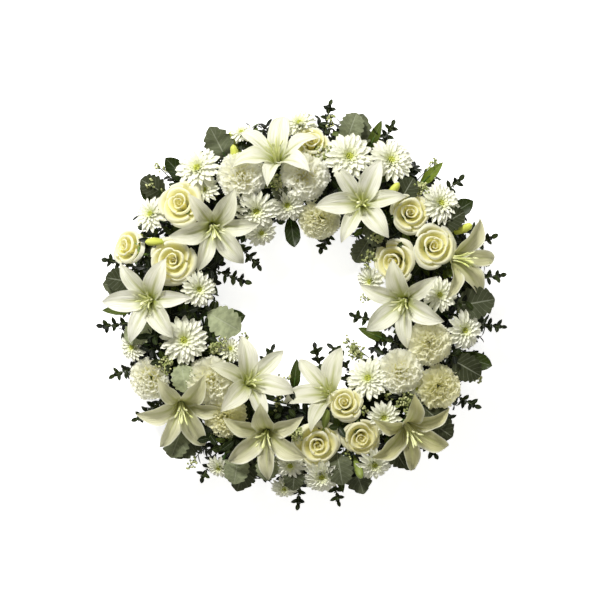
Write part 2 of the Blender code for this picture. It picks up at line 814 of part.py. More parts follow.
def make_bunch(name, middle, half, greens, arc, outwards, rng):
    """A leafy stem that runs along the foam's side, with its foot in the foam."""
    node = Node(name, "foliage")
    inside = arc - outwards * 24
    stem(node, [polar(inside, middle, ARC_Z), polar(arc, middle, ARC_Z)], ARC_R)
    count = 5 if outwards > 0 else 7
    path = [polar(arc, middle + half * (2 * k / (count - 1) - 1), ARC_Z) for k in range(count)]
    node.add(rod(path, [ARC_R] * count, STEM_SIDES))
    for kind, x, y in greens:
        place_green(node, kind, x, y, arc, outwards, rng)


def make_foliage(rng):
    for prefix, greens, count, arc, outwards in (
            ("foliage_outer", OUTER_GREENS, OUTER_BUNCHES, OUTER_ARC, 1),
            ("foliage_inner", INNER_GREENS, INNER_BUNCHES, INNER_ARC, -1)):
        step = 360 / count
        for k in range(count):
            mine = [row for row in greens if int(math.degrees(math.atan2(row[2], row[1])) % 360 / step) == k]
            name = "%s_%02d" % (prefix, k + 1)
            make_bunch(name, (k + 0.5) * step, step / 2 - 2, mine, arc, outwards, rng)


# Meshes.

def paint_of(name):
    material = bpy.data.materials.get(name)
    if material is None:
        colour, roughness = PAINTS[name]
        material = bpy.data.materials.new(name)
        material.use_nodes = True
        shader = material.node_tree.nodes["Principled BSDF"]
        shader.inputs["Base Color"].default_value = colour + (1.0,)
        shader.inputs["Roughness"].default_value = roughness
        shader.inputs["Metallic"].default_value = 0.0
    return material


def make_object(name, solid, collection):
    mesh = bpy.data.meshes.new(name)
    mesh.from_pydata([p * MM for p in solid.points], [], solid.faces)
    mesh.update()
    result = bpy.data.objects.new(name, mesh)
    collection.objects.link(result)
    return result


def join(name, solids, operation="UNION", solver="MANIFOLD"):
    """Join the solids into the first one, or cut them out of it, with one Boolean on a collection."""
    scene = bpy.context.scene.collection
    result = make_object(name, solids[0], scene)
    if len(solids) > 1:
        group = bpy.data.collections.new(name + "_solids")
        scene.children.link(group)
        for k, solid in enumerate(solids[1:]):
            make_object("%s_solid_%d" % (name, k), solid, group)
        boolean = result.modifiers.new("join", "BOOLEAN")
        boolean.operation = operation
        boolean.operand_type = "COLLECTION"
        boolean.collection = group
        boolean.solver = solver
        evaluated = result.evaluated_get(bpy.context.evaluated_depsgraph_get())
        mesh = bpy.data.meshes.new_from_object(evaluated)
        result.modifiers.clear()
        old = result.data
        result.data = mesh
        bpy.data.meshes.remove(old)
        mesh.name = name
        for solid_object in list(group.objects):
            data = solid_object.data
            bpy.data.objects.remove(solid_object)
            bpy.data.meshes.remove(data)
        bpy.data.collections.remove(group)
    tidy(result.data)
    return result


def tidy(mesh):
    """Weld what lies within a thousandth of a millimetre, fill sealed hollows and drop loose scraps."""
    shape = bmesh.new()
    shape.from_mesh(mesh)
    bmesh.ops.remove_doubles(shape, verts=shape.verts, dist=1e-6)
    bmesh.ops.dissolve_degenerate(shape, edges=shape.edges, dist=1e-6)
    bmesh.ops.triangulate(shape, faces=shape.faces)
    shape.faces.ensure_lookup_table()
    seen = set()
    shells = []
    for face in shape.faces:
        if face in seen:
            continue
        shell = []
        front = [face]
        seen.add(face)
        while front:
            current = front.pop()
            shell.append(current)
            for edge in current.edges:
                for linked in edge.link_faces:
                    if linked not in seen:
                        seen.add(linked)
                        front.append(linked)
        volume = sum(f.verts[0].co.dot(f.verts[1].co.cross(f.verts[2].co)) for f in shell) / 6
        shells.append((volume, shell))
    shells.sort(key=lambda item: item[0], reverse=True)
    for volume, shell in shells[1:]:
        bmesh.ops.delete(shape, geom=shell, context="FACES")
    loose = [v for v in shape.verts if not v.link_faces]
    bmesh.ops.delete(shape, geom=loose, context="VERTS")
    shape.to_mesh(mesh)
    shape.free()


def opening_tree():
    middle = (OPENING_LOW + OPENING_HIGH) / 2
    half = (OPENING_HIGH - OPENING_LOW) / 2
    skin = Skin()
    rings = [skin.put([middle + Vector((half.x * a, half.y * b, half.z * c))
                       for a, b in ((-1, -1), (1, -1), (1, 1), (-1, 1))]) for c in (-1, 1)]
    skin.band(rings[0], rings[1])
    skin.face(*reversed(rings[0]))
    skin.face(*rings[1])
    box = skin.solid()
    return BVHTree.FromPolygons(box.points, box.faces)


def main():
    for item in list(bpy.data.objects):
        bpy.data.objects.remove(item)
    rng = random.Random(24)
    foam = make_holder()
    TAKEN.append(((None, None), OPENING_LOW, OPENING_HIGH, opening_tree()))
    for k, row in enumerate(ROSES):
        make_rose(k + 1, row, rng)
    lilies = [make_lily(k + 1, row) for k, row in enumerate(LILIES)]
    carnations = [make_carnation(k + 1, row, rng) for k, row in enumerate(CARNATIONS)]
    sprays = [make_spray(k + 1, rows, rng) for k, rows in enumerate(SPRAYS)]
    for node in lilies:
        dress_lily(node, rng)
    for node in carnations:
        dress_carnation(node)
    for node in sprays:
        dress_spray(node, rng)
    make_foliage(rng)
    foam.solids += HOLES
    for node in NODES:
        if node is foam:
            result = join(node.name, node.solids, "DIFFERENCE", "EXACT")
        else:
            result = join(node.name, node.solids)
        result.data.materials.clear()
        result.data.materials.append(paint_of(node.paint))


main()
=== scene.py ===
"""A funeral wreath of white lilies, roses, carnations and chrysanthemums, lying on its back."""

import math
import random

import bpy
import numpy as np
from mathutils import Matrix, Vector


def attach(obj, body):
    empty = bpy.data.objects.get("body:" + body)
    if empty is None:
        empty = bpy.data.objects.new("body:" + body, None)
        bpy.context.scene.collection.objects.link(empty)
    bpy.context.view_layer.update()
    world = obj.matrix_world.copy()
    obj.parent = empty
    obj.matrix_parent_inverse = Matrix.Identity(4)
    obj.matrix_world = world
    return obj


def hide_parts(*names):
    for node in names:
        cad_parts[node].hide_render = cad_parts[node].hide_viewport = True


MM = 0.001

# The turn from one leaf or petal to the next along a stem, in degrees.
GOLDEN_TURN = 137.5
# A random phase lies between 0 and about one whole turn, in radians.
ANY_PHASE = 6.28
# First seed of each kind of piece.
SEEDS = {"lily": 1000, "rose": 2000, "carnation": 3000, "chrysanthemum": 4000, "foliage": 5000}

# The ring and its dome of flowers, in millimetres, as in the part's source.
RING_R = 197.0
DOME_FOOT = 40.0
DOME_RISE = 76.0
DOME_HALF = 112.0
LEAN_SHARE = 0.65
FOAM_TOP = 50.0
STEM_FOOT_Z = 27.0
OUTER_ARC = 240.0
INNER_ARC = 155.0
ARC_Z = 24.0

# Lilies: place of the throat, rise over the dome, direction and angle of the lean, roll of the tepals,
# and how white the bloom is from 0 to 1, partly its own cream and partly painted shade on the blooms the
# light reaches less.
LILIES = [
    (-134, 116, 12, -60, 18, 6, 0.8),
    (-38, 219, 10, 100, 38, 20, 1.0),
    (90, 152, 16, 135, 8, 5, 0.9),
    (231, 69, 8, -5, 42, 0, 0.3),
    (154, 4, 14, 220, 18, 40, 0.85),
    (-230, 6, 16, 190, 10, 5, 1.0),
    (-182, -154, 12, -75, 28, 0, 0.4),
    (-80, -118, 12, 45, 19, 45, 0.75),
    (-54, -195, 14, -110, 20, 35, 0.4),
    (42, -135, 8, 130, 28, 10, 0.7),
    (159, -186, 12, -60, 34, 30, 0.1),
]
LILY_HEIGHT = 40.0
LILY_THROAT = 15.0

# Roses: place, radius, rise over the dome, and how green, cream or white the bloom is from 0 to 1, partly
# its own tint and partly painted shade.
ROSES = [
    (-186, 153, 34, 16, 0.55),
    (-272, 88, 29, 2, 0.9),
    (-195, 66, 35, 6, 0.6),
    (164, 138, 30, 6, 0.6),
    (200, 88, 33, 6, 0.85),
    (135, 62, 33, 2, 0.5),
    (63, -146, 26, 9, 0.45),
    (24, -213, 35, 4, 0.5),
    (90, -203, 28, 2, 0.2),
    (14, 248, 28, 4, 0.95),
]
ROSE_HEIGHT = 45.0

# Carnations: place, radius, rise over the dome, how white from 0 to 1, partly its own cream and partly
# painted shade.
CARNATIONS = [
    (-92, 196, 36, 4, 1.0),
    (3, 192, 38, 4, 1.0),
    (24, 120, 32, 0, 0.5),
    (-238, -117, 32, 2, 0.8),
    (-135, -114, 37, 4, 0.7),
    (-116, -170, 32, -4, 0.2),
    (146, -100, 34, 4, 0.8),
    (192, -58, 34, 4, 0.5),
    (212, -129, 34, 2, 0.3),
]
CARNATION_HEIGHT = 42.0

# Spray chrysanthemums: the heads of each forked stem, with place, radius and rise over the dome.
SPRAYS = [
    [(-160, 208, 38, 4), (-149, 174, 25, -10)],
    [(-232, 138, 30, 0)],
    [(-4, 278, 30, 0), (-93, 264, 20, -4)],
    [(72, 224, 40, 4), (136, 220, 38, 2)],
    [(212, 154, 35, 2)],
    [(-153, 22, 30, 2)],
    [(-177, -54, 38, 2), (-260, -66, 25, 0)],
    [(-68, 138, 34, 2), (-22, 147, 30, 0), (-60, 105, 27, 0)],
    [(208, 14, 29, 0), (248, -40, 32, 0)],
    [(98, -110, 36, 2)],
    [(124, -172, 29, -6), (174, -128, 16, -4)],
    [(111, -246, 30, 0)],
    [(30, -264, 32, 0), (-18, -246, 27, 0), (-27, -284, 23, -4)],
    [(99, 33, 27, 2)],
    [(-106, -66, 22, 0)],
    [(-128, -252, 22, 0)],
]
MUM_HEIGHT = 20.0


# Frames.

def polar(radius, azimuth, height=0.0):
    turn = math.radians(azimuth)
    return Vector((radius * math.cos(turn), radius * math.sin(turn), height))


def frame_at(origin, lean_to, lean):
    """A frame whose Z is the flower's axis and whose X follows the world's X."""
    axis = polar(math.sin(math.radians(lean)), lean_to, math.cos(math.radians(lean)))
    side = (Vector((1, 0, 0)) - axis * axis.x).normalized()
    fore = axis.cross(side)
    matrix = Matrix((side, fore, axis)).transposed().to_4x4()
    matrix.translation = origin
    return matrix


def crown_height(x, y):
    offset = (math.hypot(x, y) - RING_R) / DOME_HALF
    return DOME_FOOT + DOME_RISE * math.sqrt(max(0.0, 1 - offset * offset))


def head_frame(x, y, rise, height):
    """The frame at the base of a head whose front, at this height, is at x, y on the dome."""
    offset = math.hypot(x, y) - RING_R
    azimuth = math.degrees(math.atan2(y, x))
    lean = LEAN_SHARE * math.degrees(math.atan2(offset, crown_height(x, y) - DOME_FOOT))
    if lean < 0:
        azimuth, lean = azimuth + 180, -lean
    front = frame_at(Vector((x, y, crown_height(x, y) + rise)), azimuth, lean)
    return front @ Matrix.Translation((0, 0, -height))


def stem_foot(x, y):
    offset = max(-70.0, min(70.0, math.hypot(x, y) - RING_R))
    return polar(RING_R + 0.3 * offset, math.degrees(math.atan2(y, x)), STEM_FOOT_Z)


# Meshes.

IDENTITY = np.eye(4)


# Sides and rows of a flower's stem.
STEM_SIDES = 8
STEM_ROWS = 12


class Piece:
    """The fine mesh that stands for one node, from patches of quads with a surface map and a paint value."""

    def __init__(self, name, slot, materials):
        self.name = name
        self.slot = slot
        self.materials = materials
        self.points = []
        self.maps = []
        self.paint = []
        self.faces = []
        self.kinds = []
        self.count = 0

    def patch(self, grid, place=IDENTITY, kind=0, tone=0.5, shade=0.5, closed=False):
        """Add a grid of points, in rows along the petal.

        Tone is the petal's own chance value, shade how white it is, which is partly painted shade, or its
        place in the head.
        """
        rows, columns = grid.shape[:2]
        flat = grid.reshape(-1, 3) @ place[:3, :3].T + place[:3, 3]
        self.points.append(flat)
        across, along = np.meshgrid(np.linspace(0, 1, columns), np.linspace(0, 1, rows))
        self.maps.append(np.stack([across.ravel(), along.ravel()], 1))
        paint = np.empty((rows * columns, 4))
        paint[:, 0] = tone
        paint[:, 1] = shade
        paint[:, 2] = along.ravel()
        paint[:, 3] = 1.0
        self.paint.append(paint)
        span = columns if closed else columns - 1
        index = np.arange(rows * columns).reshape(rows, columns)
        nearer = index[:-1, :span].ravel()
        side = np.roll(index, -1, axis=1)[:-1, :span].ravel()
        further = index[1:, :span].ravel()
        corner = np.roll(index, -1, axis=1)[1:, :span].ravel()
        faces = np.stack([nearer, side, corner, further], 1) + self.count
        self.faces.append(faces)
        self.kinds.append(np.full(len(faces), kind))
        self.count += rows * columns

    def rod(self, path, radii, sides, kind, place=IDENTITY):
        """Add a tube along a path of points."""
        self.patch(tube(path, radii, sides), place, kind, closed=True)

    def stem(self, knots, radii, kind):
        """Add a smooth stem through a few knots, with radii spread evenly along it."""
        spread = np.interp(np.linspace(0, 1, STEM_ROWS), np.linspace(0, 1, len(radii)), radii)
        self.rod(smooth_path(knots, STEM_ROWS), spread, STEM_SIDES, kind)

    def build(self):
        points = np.concatenate(self.points) * MM
        faces = np.concatenate(self.faces)
        mesh = bpy.data.meshes.new(self.name)
        mesh.from_pydata(points.tolist(), [], faces.tolist())
        kinds = np.concatenate(self.kinds).astype(np.int32)
        mesh.polygons.foreach_set("material_index", kinds)
        mesh.polygons.foreach_set("use_smooth", np.ones(len(faces), bool))
        corners = faces.ravel()
        surface = mesh.uv_layers.new(name="surface")
        surface.uv.foreach_set("vector", np.concatenate(self.maps)[corners].astype(np.float32).ravel())
        paint = mesh.attributes.new("paint", "FLOAT_COLOR", "POINT")
        paint.data.foreach_set("color", np.concatenate(self.paint).astype(np.float32).ravel())
        for material in self.materials:
            mesh.materials.append(material)
        mesh.validate()
        mesh.update()
        piece = bpy.data.objects.new(self.name, mesh)
        bpy.context.scene.collection.objects.link(piece)
        return piece


def tube(path, radii, sides):
    """A grid round a path of points, for a stem or a filament."""
    path = np.array([list(point) for point in path], float)
    along = np.gradient(path, axis=0)
    along /= np.linalg.norm(along, axis=1, keepdims=True) + 1e-9
    side = np.cross(along, np.array((0.31, 0.17, 0.94)))
    side /= np.linalg.norm(side, axis=1, keepdims=True) + 1e-9
    up = np.cross(along, side)
    turn = np.arange(sides) * 2 * math.pi / sides
    radii = np.array(radii, float)[:, None, None]
    return (path[:, None, :] + radii * (np.cos(turn)[None, :, None] * side[:, None, :]
                                        + np.sin(turn)[None, :, None] * up[:, None, :]))


def lathe(profile, sides):
    """A grid round the axis from pairs of radius and height."""
    turn = np.linspace(0, 2 * math.pi, sides, endpoint=False)
    return np.array([[(r * math.cos(a), r * math.sin(a), z) for a in turn] for r, z in profile])


def petal_axes(azimuth):
    """Outwards, sideways and upwards for a petal at this azimuth."""
    return np.array(polar(1, azimuth)), np.array(polar(1, azimuth + 90)), np.array((0, 0, 1.0))


def petal_line(root, bend, along, reach):
    """Radius and height of a petal's middle line that starts at root and climbs at these angles."""
    step = np.concatenate([[0], np.diff(along)])
    return root[0] + np.cumsum(np.cos(bend) * step) * reach, root[1] + np.cumsum(np.sin(bend) * step) * reach


def smooth_path(knots, count):
    """Points along a smooth curve through a few knots."""
    knots = np.array([list(knot) for knot in knots], float)
    if len(knots) == 2:
        return knots[0] + (knots[1] - knots[0]) * np.linspace(0, 1, count)[:, None]
    before = 2 * knots[0] - knots[1]
    after = 2 * knots[-1] - knots[-2]
    padded = np.vstack([before, knots, after])
    points = []
    for t in np.linspace(0, len(knots) - 1 - 1e-6, count):
        k = int(t)
        f = t - k
        a, b, c, d = padded[k:k + 4]
        points.append(0.5 * (2 * b + (c - a) * f + (2 * a - 5 * b + 4 * c - d) * f * f
                             + (3 * b - a - 3 * c + d) * f ** 3))
    return np.array(points)


def node_points(name):
    """The corners of a CAD node in millimetres."""
    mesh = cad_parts[name].data
    flat = np.empty(len(mesh.vertices) * 3, np.float32)
    mesh.vertices.foreach_get("co", flat)
    return flat.reshape(-1, 3).astype(float) / MM


def local_points(name, place):
    inverse = np.array(place.inverted())
    return node_points(name) @ inverse[:3, :3].T + inverse[:3, 3]


def farthest(points, azimuth, half, low=-1e3, high=1e3, limit=1e3):
    """Azimuth, radius and height of the point furthest from the axis in a sector, or None."""
    radius = np.hypot(points[:, 0], points[:, 1])
    turn = (np.degrees(np.arctan2(points[:, 1], points[:, 0])) - azimuth + 180) % 360 - 180
    near = (np.abs(turn) < half) & (points[:, 2] > low) & (points[:, 2] < high) & (radius < limit)
    if not near.any():
        return None
    k = int(np.argmax(np.where(near, radius, -1.0)))
    return azimuth + turn[k], radius[k], points[k, 2]


# Materials.

class Paint:
    """A node material under construction."""

    def __init__(self, name):
        self.material = bpy.data.materials.new(name)
        self.material.use_nodes = True
        self.tree = self.material.node_tree
        self.shader = self.tree.nodes["Principled BSDF"]

    def link(self, value, socket):
        if isinstance(value, bpy.types.NodeSocket):
            self.tree.links.new(value, socket)
        else:
            socket.default_value = value

    def node(self, kind, **settings):
        node = self.tree.nodes.new(kind)
        for name, value in settings.items():
            setattr(node, name, value)
        return node

    def math(self, operation, a, b=0.0):
        node = self.node("ShaderNodeMath", operation=operation)
        self.link(a, node.inputs[0])
        self.link(b, node.inputs[1])
        return node.outputs[0]

    def times(self, a, b):
        return self.math("MULTIPLY", a, b)

    def fit(self, value, low, high, to_low=0.0, to_high=1.0):
        """Map a value smoothly from one range to another, clamped."""
        node = self.node("ShaderNodeMapRange", interpolation_type="SMOOTHSTEP")
        self.link(value, node.inputs["Value"])
        for name, limit in (("From Min", low), ("From Max", high), ("To Min", to_low), ("To Max", to_high)):
            node.inputs[name].default_value = limit
        return node.outputs["Result"]

    def mix(self, factor, a, b):
        node = self.node("ShaderNodeMix", data_type="RGBA")
        self.link(factor, node.inputs[0])
        self.link(a, node.inputs[6])
        self.link(b, node.inputs[7])
        return node.outputs[2]

    def surface(self):
        """Across and along the petal, from its own surface map."""
        split = self.node("ShaderNodeSeparateXYZ")
        self.link(self.node("ShaderNodeUVMap", uv_map="surface").outputs[0], split.inputs[0])
        return split.outputs[0], split.outputs[1]

    def values(self):
        """The petal's chance value, and how white it is (partly painted shade) or its place in the head."""
        split = self.node("ShaderNodeSeparateColor")
        paint = self.node("ShaderNodeAttribute", attribute_name="paint")
        self.link(paint.outputs["Color"], split.inputs[0])
        return split.outputs[0], split.outputs[1]

    def noise(self, scale, stretch=(1, 1, 1), detail=3.0, on_map=True):
        """Noise on the surface map, or on the object's own coordinates."""
        mapping = self.node("ShaderNodeMapping")
        mapping.inputs["Scale"].default_value = stretch
        if on_map:
            tone = self.values()[0]
            joined = self.node("ShaderNodeCombineXYZ")
            across, along = self.surface()
            self.link(across, joined.inputs[0])
            self.link(along, joined.inputs[1])
            self.link(self.times(tone, 37.0), joined.inputs[2])
            self.link(joined.outputs[0], mapping.inputs[0])
        else:
            self.link(self.node("ShaderNodeTexCoord").outputs["Object"], mapping.inputs[0])
        noise = self.node("ShaderNodeTexNoise")
        self.link(mapping.outputs[0], noise.inputs["Vector"])
        noise.inputs["Scale"].default_value = scale
        noise.inputs["Detail"].default_value = detail
        noise.inputs["Roughness"].default_value = 0.5
        return noise.outputs[0]

    def finish(self, colour, rough, height=None, depth=0.0005, strength=0.4, **inputs):
        self.link(colour, self.shader.inputs["Base Color"])
        self.link(rough, self.shader.inputs["Roughness"])
        if height is not None:
            bump = self.node("ShaderNodeBump")
            bump.inputs["Strength"].default_value = strength
            bump.inputs["Distance"].default_value = depth
            self.link(height, bump.inputs["Height"])
            self.link(bump.outputs[0], self.shader.inputs["Normal"])
        for name, value in inputs.items():
            self.shader.inputs[name.replace("_", " ")].default_value = value
        return self.material

    def let_through(self, colour, share):
        """Let a share of the light through the petal."""
        through = self.node("ShaderNodeBsdfTranslucent")
        self.link(colour, through.inputs["Color"])
        both = self.node("ShaderNodeMixShader")
        both.inputs[0].default_value = share
        self.link(self.shader.outputs[0], both.inputs[1])
        self.link(through.outputs[0], both.inputs[2])
        self.link(both.outputs[0], self.tree.nodes["Material Output"].inputs["Surface"])
        return self.material


def rgb(red, green, blue):
    return (red, green, blue, 1.0)


def petal_material(name, tip, base, edge_from, edge_to, rib, streak, through, tint_and_shade):
    """A petal that goes from its base to its tip colour, and towards a second tint where its bloom isn't
    white: the bloom's own cream or green, and for the lily's olive partly painted shade.
    """
    paint = Paint(name)
    across, along = paint.surface()
    tone, shade = paint.values()
    veins = paint.noise(1.0, (streak, 3.0, 1.0), 2.0)
    colour = paint.mix(paint.fit(along, edge_from, edge_to), base, tip)
    # Towards the second tint: the bloom's own tint, and on the darker blooms painted shade.
    colour = paint.mix(paint.times(paint.fit(shade, 1.0, 0.0), 0.9), colour, tint_and_shade)
    vein_share, vein_depth, vein_strength = 0.15, 0.0005, 0.5
    if rib is not None:
        vein_share, vein_depth, vein_strength = 0.3, 0.0014, 0.9
        aside = paint.math("ABSOLUTE", paint.math("SUBTRACT", across, 0.5))
        # A dark line along the midrib: partly its green, partly painted shade in the groove beside it.
        line = paint.times(paint.fit(aside, 0.13, 0.0), paint.fit(along, 1.0, 0.25))
        colour = paint.mix(paint.times(line, 0.8), colour, rib)
        colour = paint.mix(paint.times(paint.fit(aside, 0.36, 0.5), 0.7), colour, tip)
    colour = paint.mix(paint.times(paint.fit(veins, 0.42, 0.75), vein_share), colour, base)
    colour = paint.mix(paint.fit(tone, 0.0, 1.0, 0.0, 0.12), colour, base)
    paint.finish(colour, 0.5, veins, vein_depth, vein_strength, Sheen_Weight=0.1)
    return paint.let_through(colour, through)


def leaf_material(name, dark, pale, rough, coat, spread):
    """A leaf with a pale midrib, side veins and patches of tone. Spread is how far leaves differ."""
    paint = Paint(name)
    across, along = paint.surface()
    tone = paint.values()[0]
    aside = paint.math("ABSOLUTE", paint.math("SUBTRACT", across, 0.5))
    rib = paint.fit(aside, 0.045, 0.0)
    slant = paint.math("SUBTRACT", along, paint.times(aside, 0.45))
    wave = paint.math("ABSOLUTE", paint.math("SINE", paint.times(slant, 24.0)))
    side_veins = paint.times(paint.fit(wave, 0.22, 0.0), 0.5)
    lines = paint.math("MAXIMUM", rib, side_veins)
    patches = paint.noise(5.0, (1.0, 2.0, 1.0), 3.0)
    colour = paint.mix(paint.fit(tone, 0.0, 1.0, 0.0, spread), dark, pale)
    colour = paint.mix(paint.fit(patches, 0.3, 0.7, 0.0, 0.35), colour, dark)
    bright = tuple(0.75 * value + 0.25 for value in pale)
    colour = paint.mix(paint.times(lines, 0.3), colour, bright)
    height = paint.math("SUBTRACT", patches, lines)
    paint.finish(colour, paint.fit(patches, 0.2, 0.8, rough, rough + 0.18), height, 0.0006, 0.6,
                 Coat_Weight=coat, Coat_Roughness=0.25, Specular_IOR_Level=0.15)
    return paint.let_through(pale, 0.04)


def speckled_material(name, low, high, scale, rough, depth, strength):
    """Small stuff: stems, florets, foam, plastic."""
    paint = Paint(name)
    grain = paint.noise(scale, (1, 1, 1), 4.0, False)
    colour = paint.mix(paint.fit(grain, 0.3, 0.7), low, high)
    return paint.finish(colour, rough, grain, depth, strength)


# Petals: tip and base colours, where the base ends and the tip begins, rib colour, streaks across,
# share of light let through, and the tint of a bloom that isn't white, partly painted shade.
PETALS = {
    # The lily's base is its green-yellow throat, darkened with painted shade of the deep throat; its rib
    # colour is partly the midrib's green and partly painted shade in the groove; its olive tint is partly
    # painted shade.
    "lily": ("lily_petal", (0.97, 0.96, 0.86), (0.38, 0.43, 0.03), 0.06, 0.50, (0.52, 0.54, 0.20), 26.0, 0.3,
             (0.60, 0.57, 0.26)),
    "rose": ("rose_petal", (0.97, 0.97, 0.88), (0.94, 0.90, 0.42), 0.42, 0.88, None, 30.0, 0.4,
             (0.90, 0.86, 0.52)),
    "carnation": ("carnation_petal", (0.99, 0.99, 0.93), (0.96, 0.94, 0.62), 0.2, 0.7, None, 40.0, 0.5,
                  (0.90, 0.88, 0.58)),
    "mum": ("chrysanthemum_ray", (0.93, 0.93, 0.84), (0.68, 0.73, 0.26), 0.0, 0.4, None, 9.0, 0.2,
            (0.74, 0.78, 0.32)),
    "bud": ("lily_bud", (0.66, 0.70, 0.12), (0.34, 0.42, 0.05), 0.0, 0.5, None, 12.0, 0.1,
            (0.14, 0.20, 0.04)),
}
# Leaves: dark and pale colours, roughness, coat, and how far leaves differ.
LEAVES = {
    "scalloped": ("scalloped_leaf", (0.026, 0.031, 0.012), (0.38, 0.42, 0.25), 0.65, 0.0, 0.95),
    "broad": ("broad_leaf", (0.010, 0.018, 0.002), (0.10, 0.145, 0.012), 0.36, 0.06, 0.6),
    "slim": ("slim_leaf", (0.024, 0.038, 0.005), (0.20, 0.27, 0.03), 0.4, 0.06, 0.8),
    # The boxwood's near-black colours are partly its own dark green and partly painted shade in the gaps
    # between the blooms.
    "boxwood": ("boxwood_leaf", (0.002, 0.004, 0.001), (0.042, 0.066, 0.004), 0.36, 0.03, 0.6),
}
# Small stuff and the holder: two colours, scale of the grain, roughness, depth and strength of the bump.
SPECKLED = {
    "filament": ("lily_filament", (0.62, 0.67, 0.24), (0.86, 0.86, 0.54), 40.0, 0.5, 0.0003, 0.5),
    "disc": ("chrysanthemum_disc", (0.40, 0.46, 0.04), (0.68, 0.70, 0.16), 400.0, 0.6, 0.0004, 0.5),
    "stem": ("green_stem", (0.045, 0.095, 0.020), (0.09, 0.17, 0.035), 220.0, 0.5, 0.0004, 0.5),
    "calyx": ("calyx", (0.13, 0.24, 0.08), (0.22, 0.34, 0.13), 160.0, 0.55, 0.0004, 0.5),
    "twig": ("twig", (0.035, 0.050, 0.012), (0.085, 0.105, 0.030), 300.0, 0.7, 0.0004, 0.5),
    "floret": ("filler_floret", (0.20, 0.25, 0.05), (0.64, 0.65, 0.34), 160.0, 0.6, 0.0003, 0.5),
    "foam_ring": ("wet_foam", (0.010, 0.020, 0.008), (0.024, 0.044, 0.015), 900.0, 0.95, 0.0012, 0.8),
    "tray": ("tray_plastic", (0.020, 0.045, 0.022), (0.028, 0.06, 0.03), 1400.0, 0.45, 0.0001, 0.5),
}


def make_materials():
    materials = {}
    for table, make in ((PETALS, petal_material), (LEAVES, leaf_material), (SPECKLED, speckled_material)):
        for kind, row in table.items():
            materials[kind] = make(*[rgb(*value) if isinstance(value, tuple) else value for value in row])
    return materials


def pick(*kinds):
    return [MATERIALS[kind] for kind in kinds]


# Lilies.

TEPAL_ALONG = (0.0, 0.12, 0.26, 0.40, 0.54, 0.66, 0.78, 0.88, 0.95, 1.0)
TEPAL_WIDTH = (0.28, 0.46, 0.72, 0.93, 1.0, 0.93, 0.72, 0.43, 0.19, 0.02)
TEPAL_START = 22.0


def arc(length, start, end, fractions):
    """Radius, height and slope along an arc that leaves the axis at one angle and ends at another."""
    fine = (np.arange(240) + 0.5) / 240
    angle = np.radians(start + (end - start) * fine)
    radius = np.concatenate([[0], np.cumsum(np.sin(angle))]) * length / 240
    height = np.concatenate([[0], np.cumsum(np.cos(angle))]) * length / 240
    at = np.linspace(0, 1, 241)
    return (np.interp(fractions, at, radius), np.interp(fractions, at, height),
            np.radians(start + (end - start) * np.asarray(fractions)))


def solve_arc(radius, height):
    """Length and end angle of the arc that ends at this radius and height."""
    best = None
    for end in range(24, 126, 2):
        unit_radius, unit_height = arc(1.0, TEPAL_START, end, [1.0])[:2]
        length = radius / unit_radius[0]
        error = abs(unit_height[0] * length - height)
        if best is None or error < best[0]:
            best = (error, length, end)
    return best[1], best[2]


def tepal(azimuth, width, length, end, rng, lower):
    rows, columns = 20, 13
    along = np.linspace(0, 1, rows)
    across = np.linspace(-1, 1, columns)
    radius, height, slope = arc(length, TEPAL_START, end, along)
    droop = 7.0 * np.clip((along - 0.72) / 0.28, 0, 1) ** 2
    height = height - droop * 0.8
    half = width * np.interp(along, TEPAL_ALONG, TEPAL_WIDTH)
    out, side, top = petal_axes(azimuth)
    middle = (radius + 2)[:, None] * out + (height + 2)[:, None] * top
    up = -np.cos(slope)[:, None] * out + np.sin(slope)[:, None] * top
    phase = rng.uniform(0, ANY_PHASE)
    grid = np.empty((rows, columns, 3))
    twist = rng.uniform(-0.10, 0.10)
    for c, u in enumerate(across):
        edge = abs(u) ** 2.2
        waves = np.sin(along * 15 + phase + (1.3 if u > 0 else 0)) * edge * 2.3 * np.sin(np.pi * along)
        ridge = math.exp(-(u / 0.14) ** 2) + 0.45 * math.exp(-((abs(u) - 0.45) / 0.12) ** 2)
        trough = 0.42 * half * u * u - 1.7 * ridge * np.sin(np.pi * np.clip(along * 0.95, 0, 1))
        lift = trough + waves + twist * u * half - (1.6 if lower else 0.0) * (1 - along * 0.3)
        grid[:, c, :] = middle + (u * half)[:, None] * side + lift[:, None] * up
    return grid


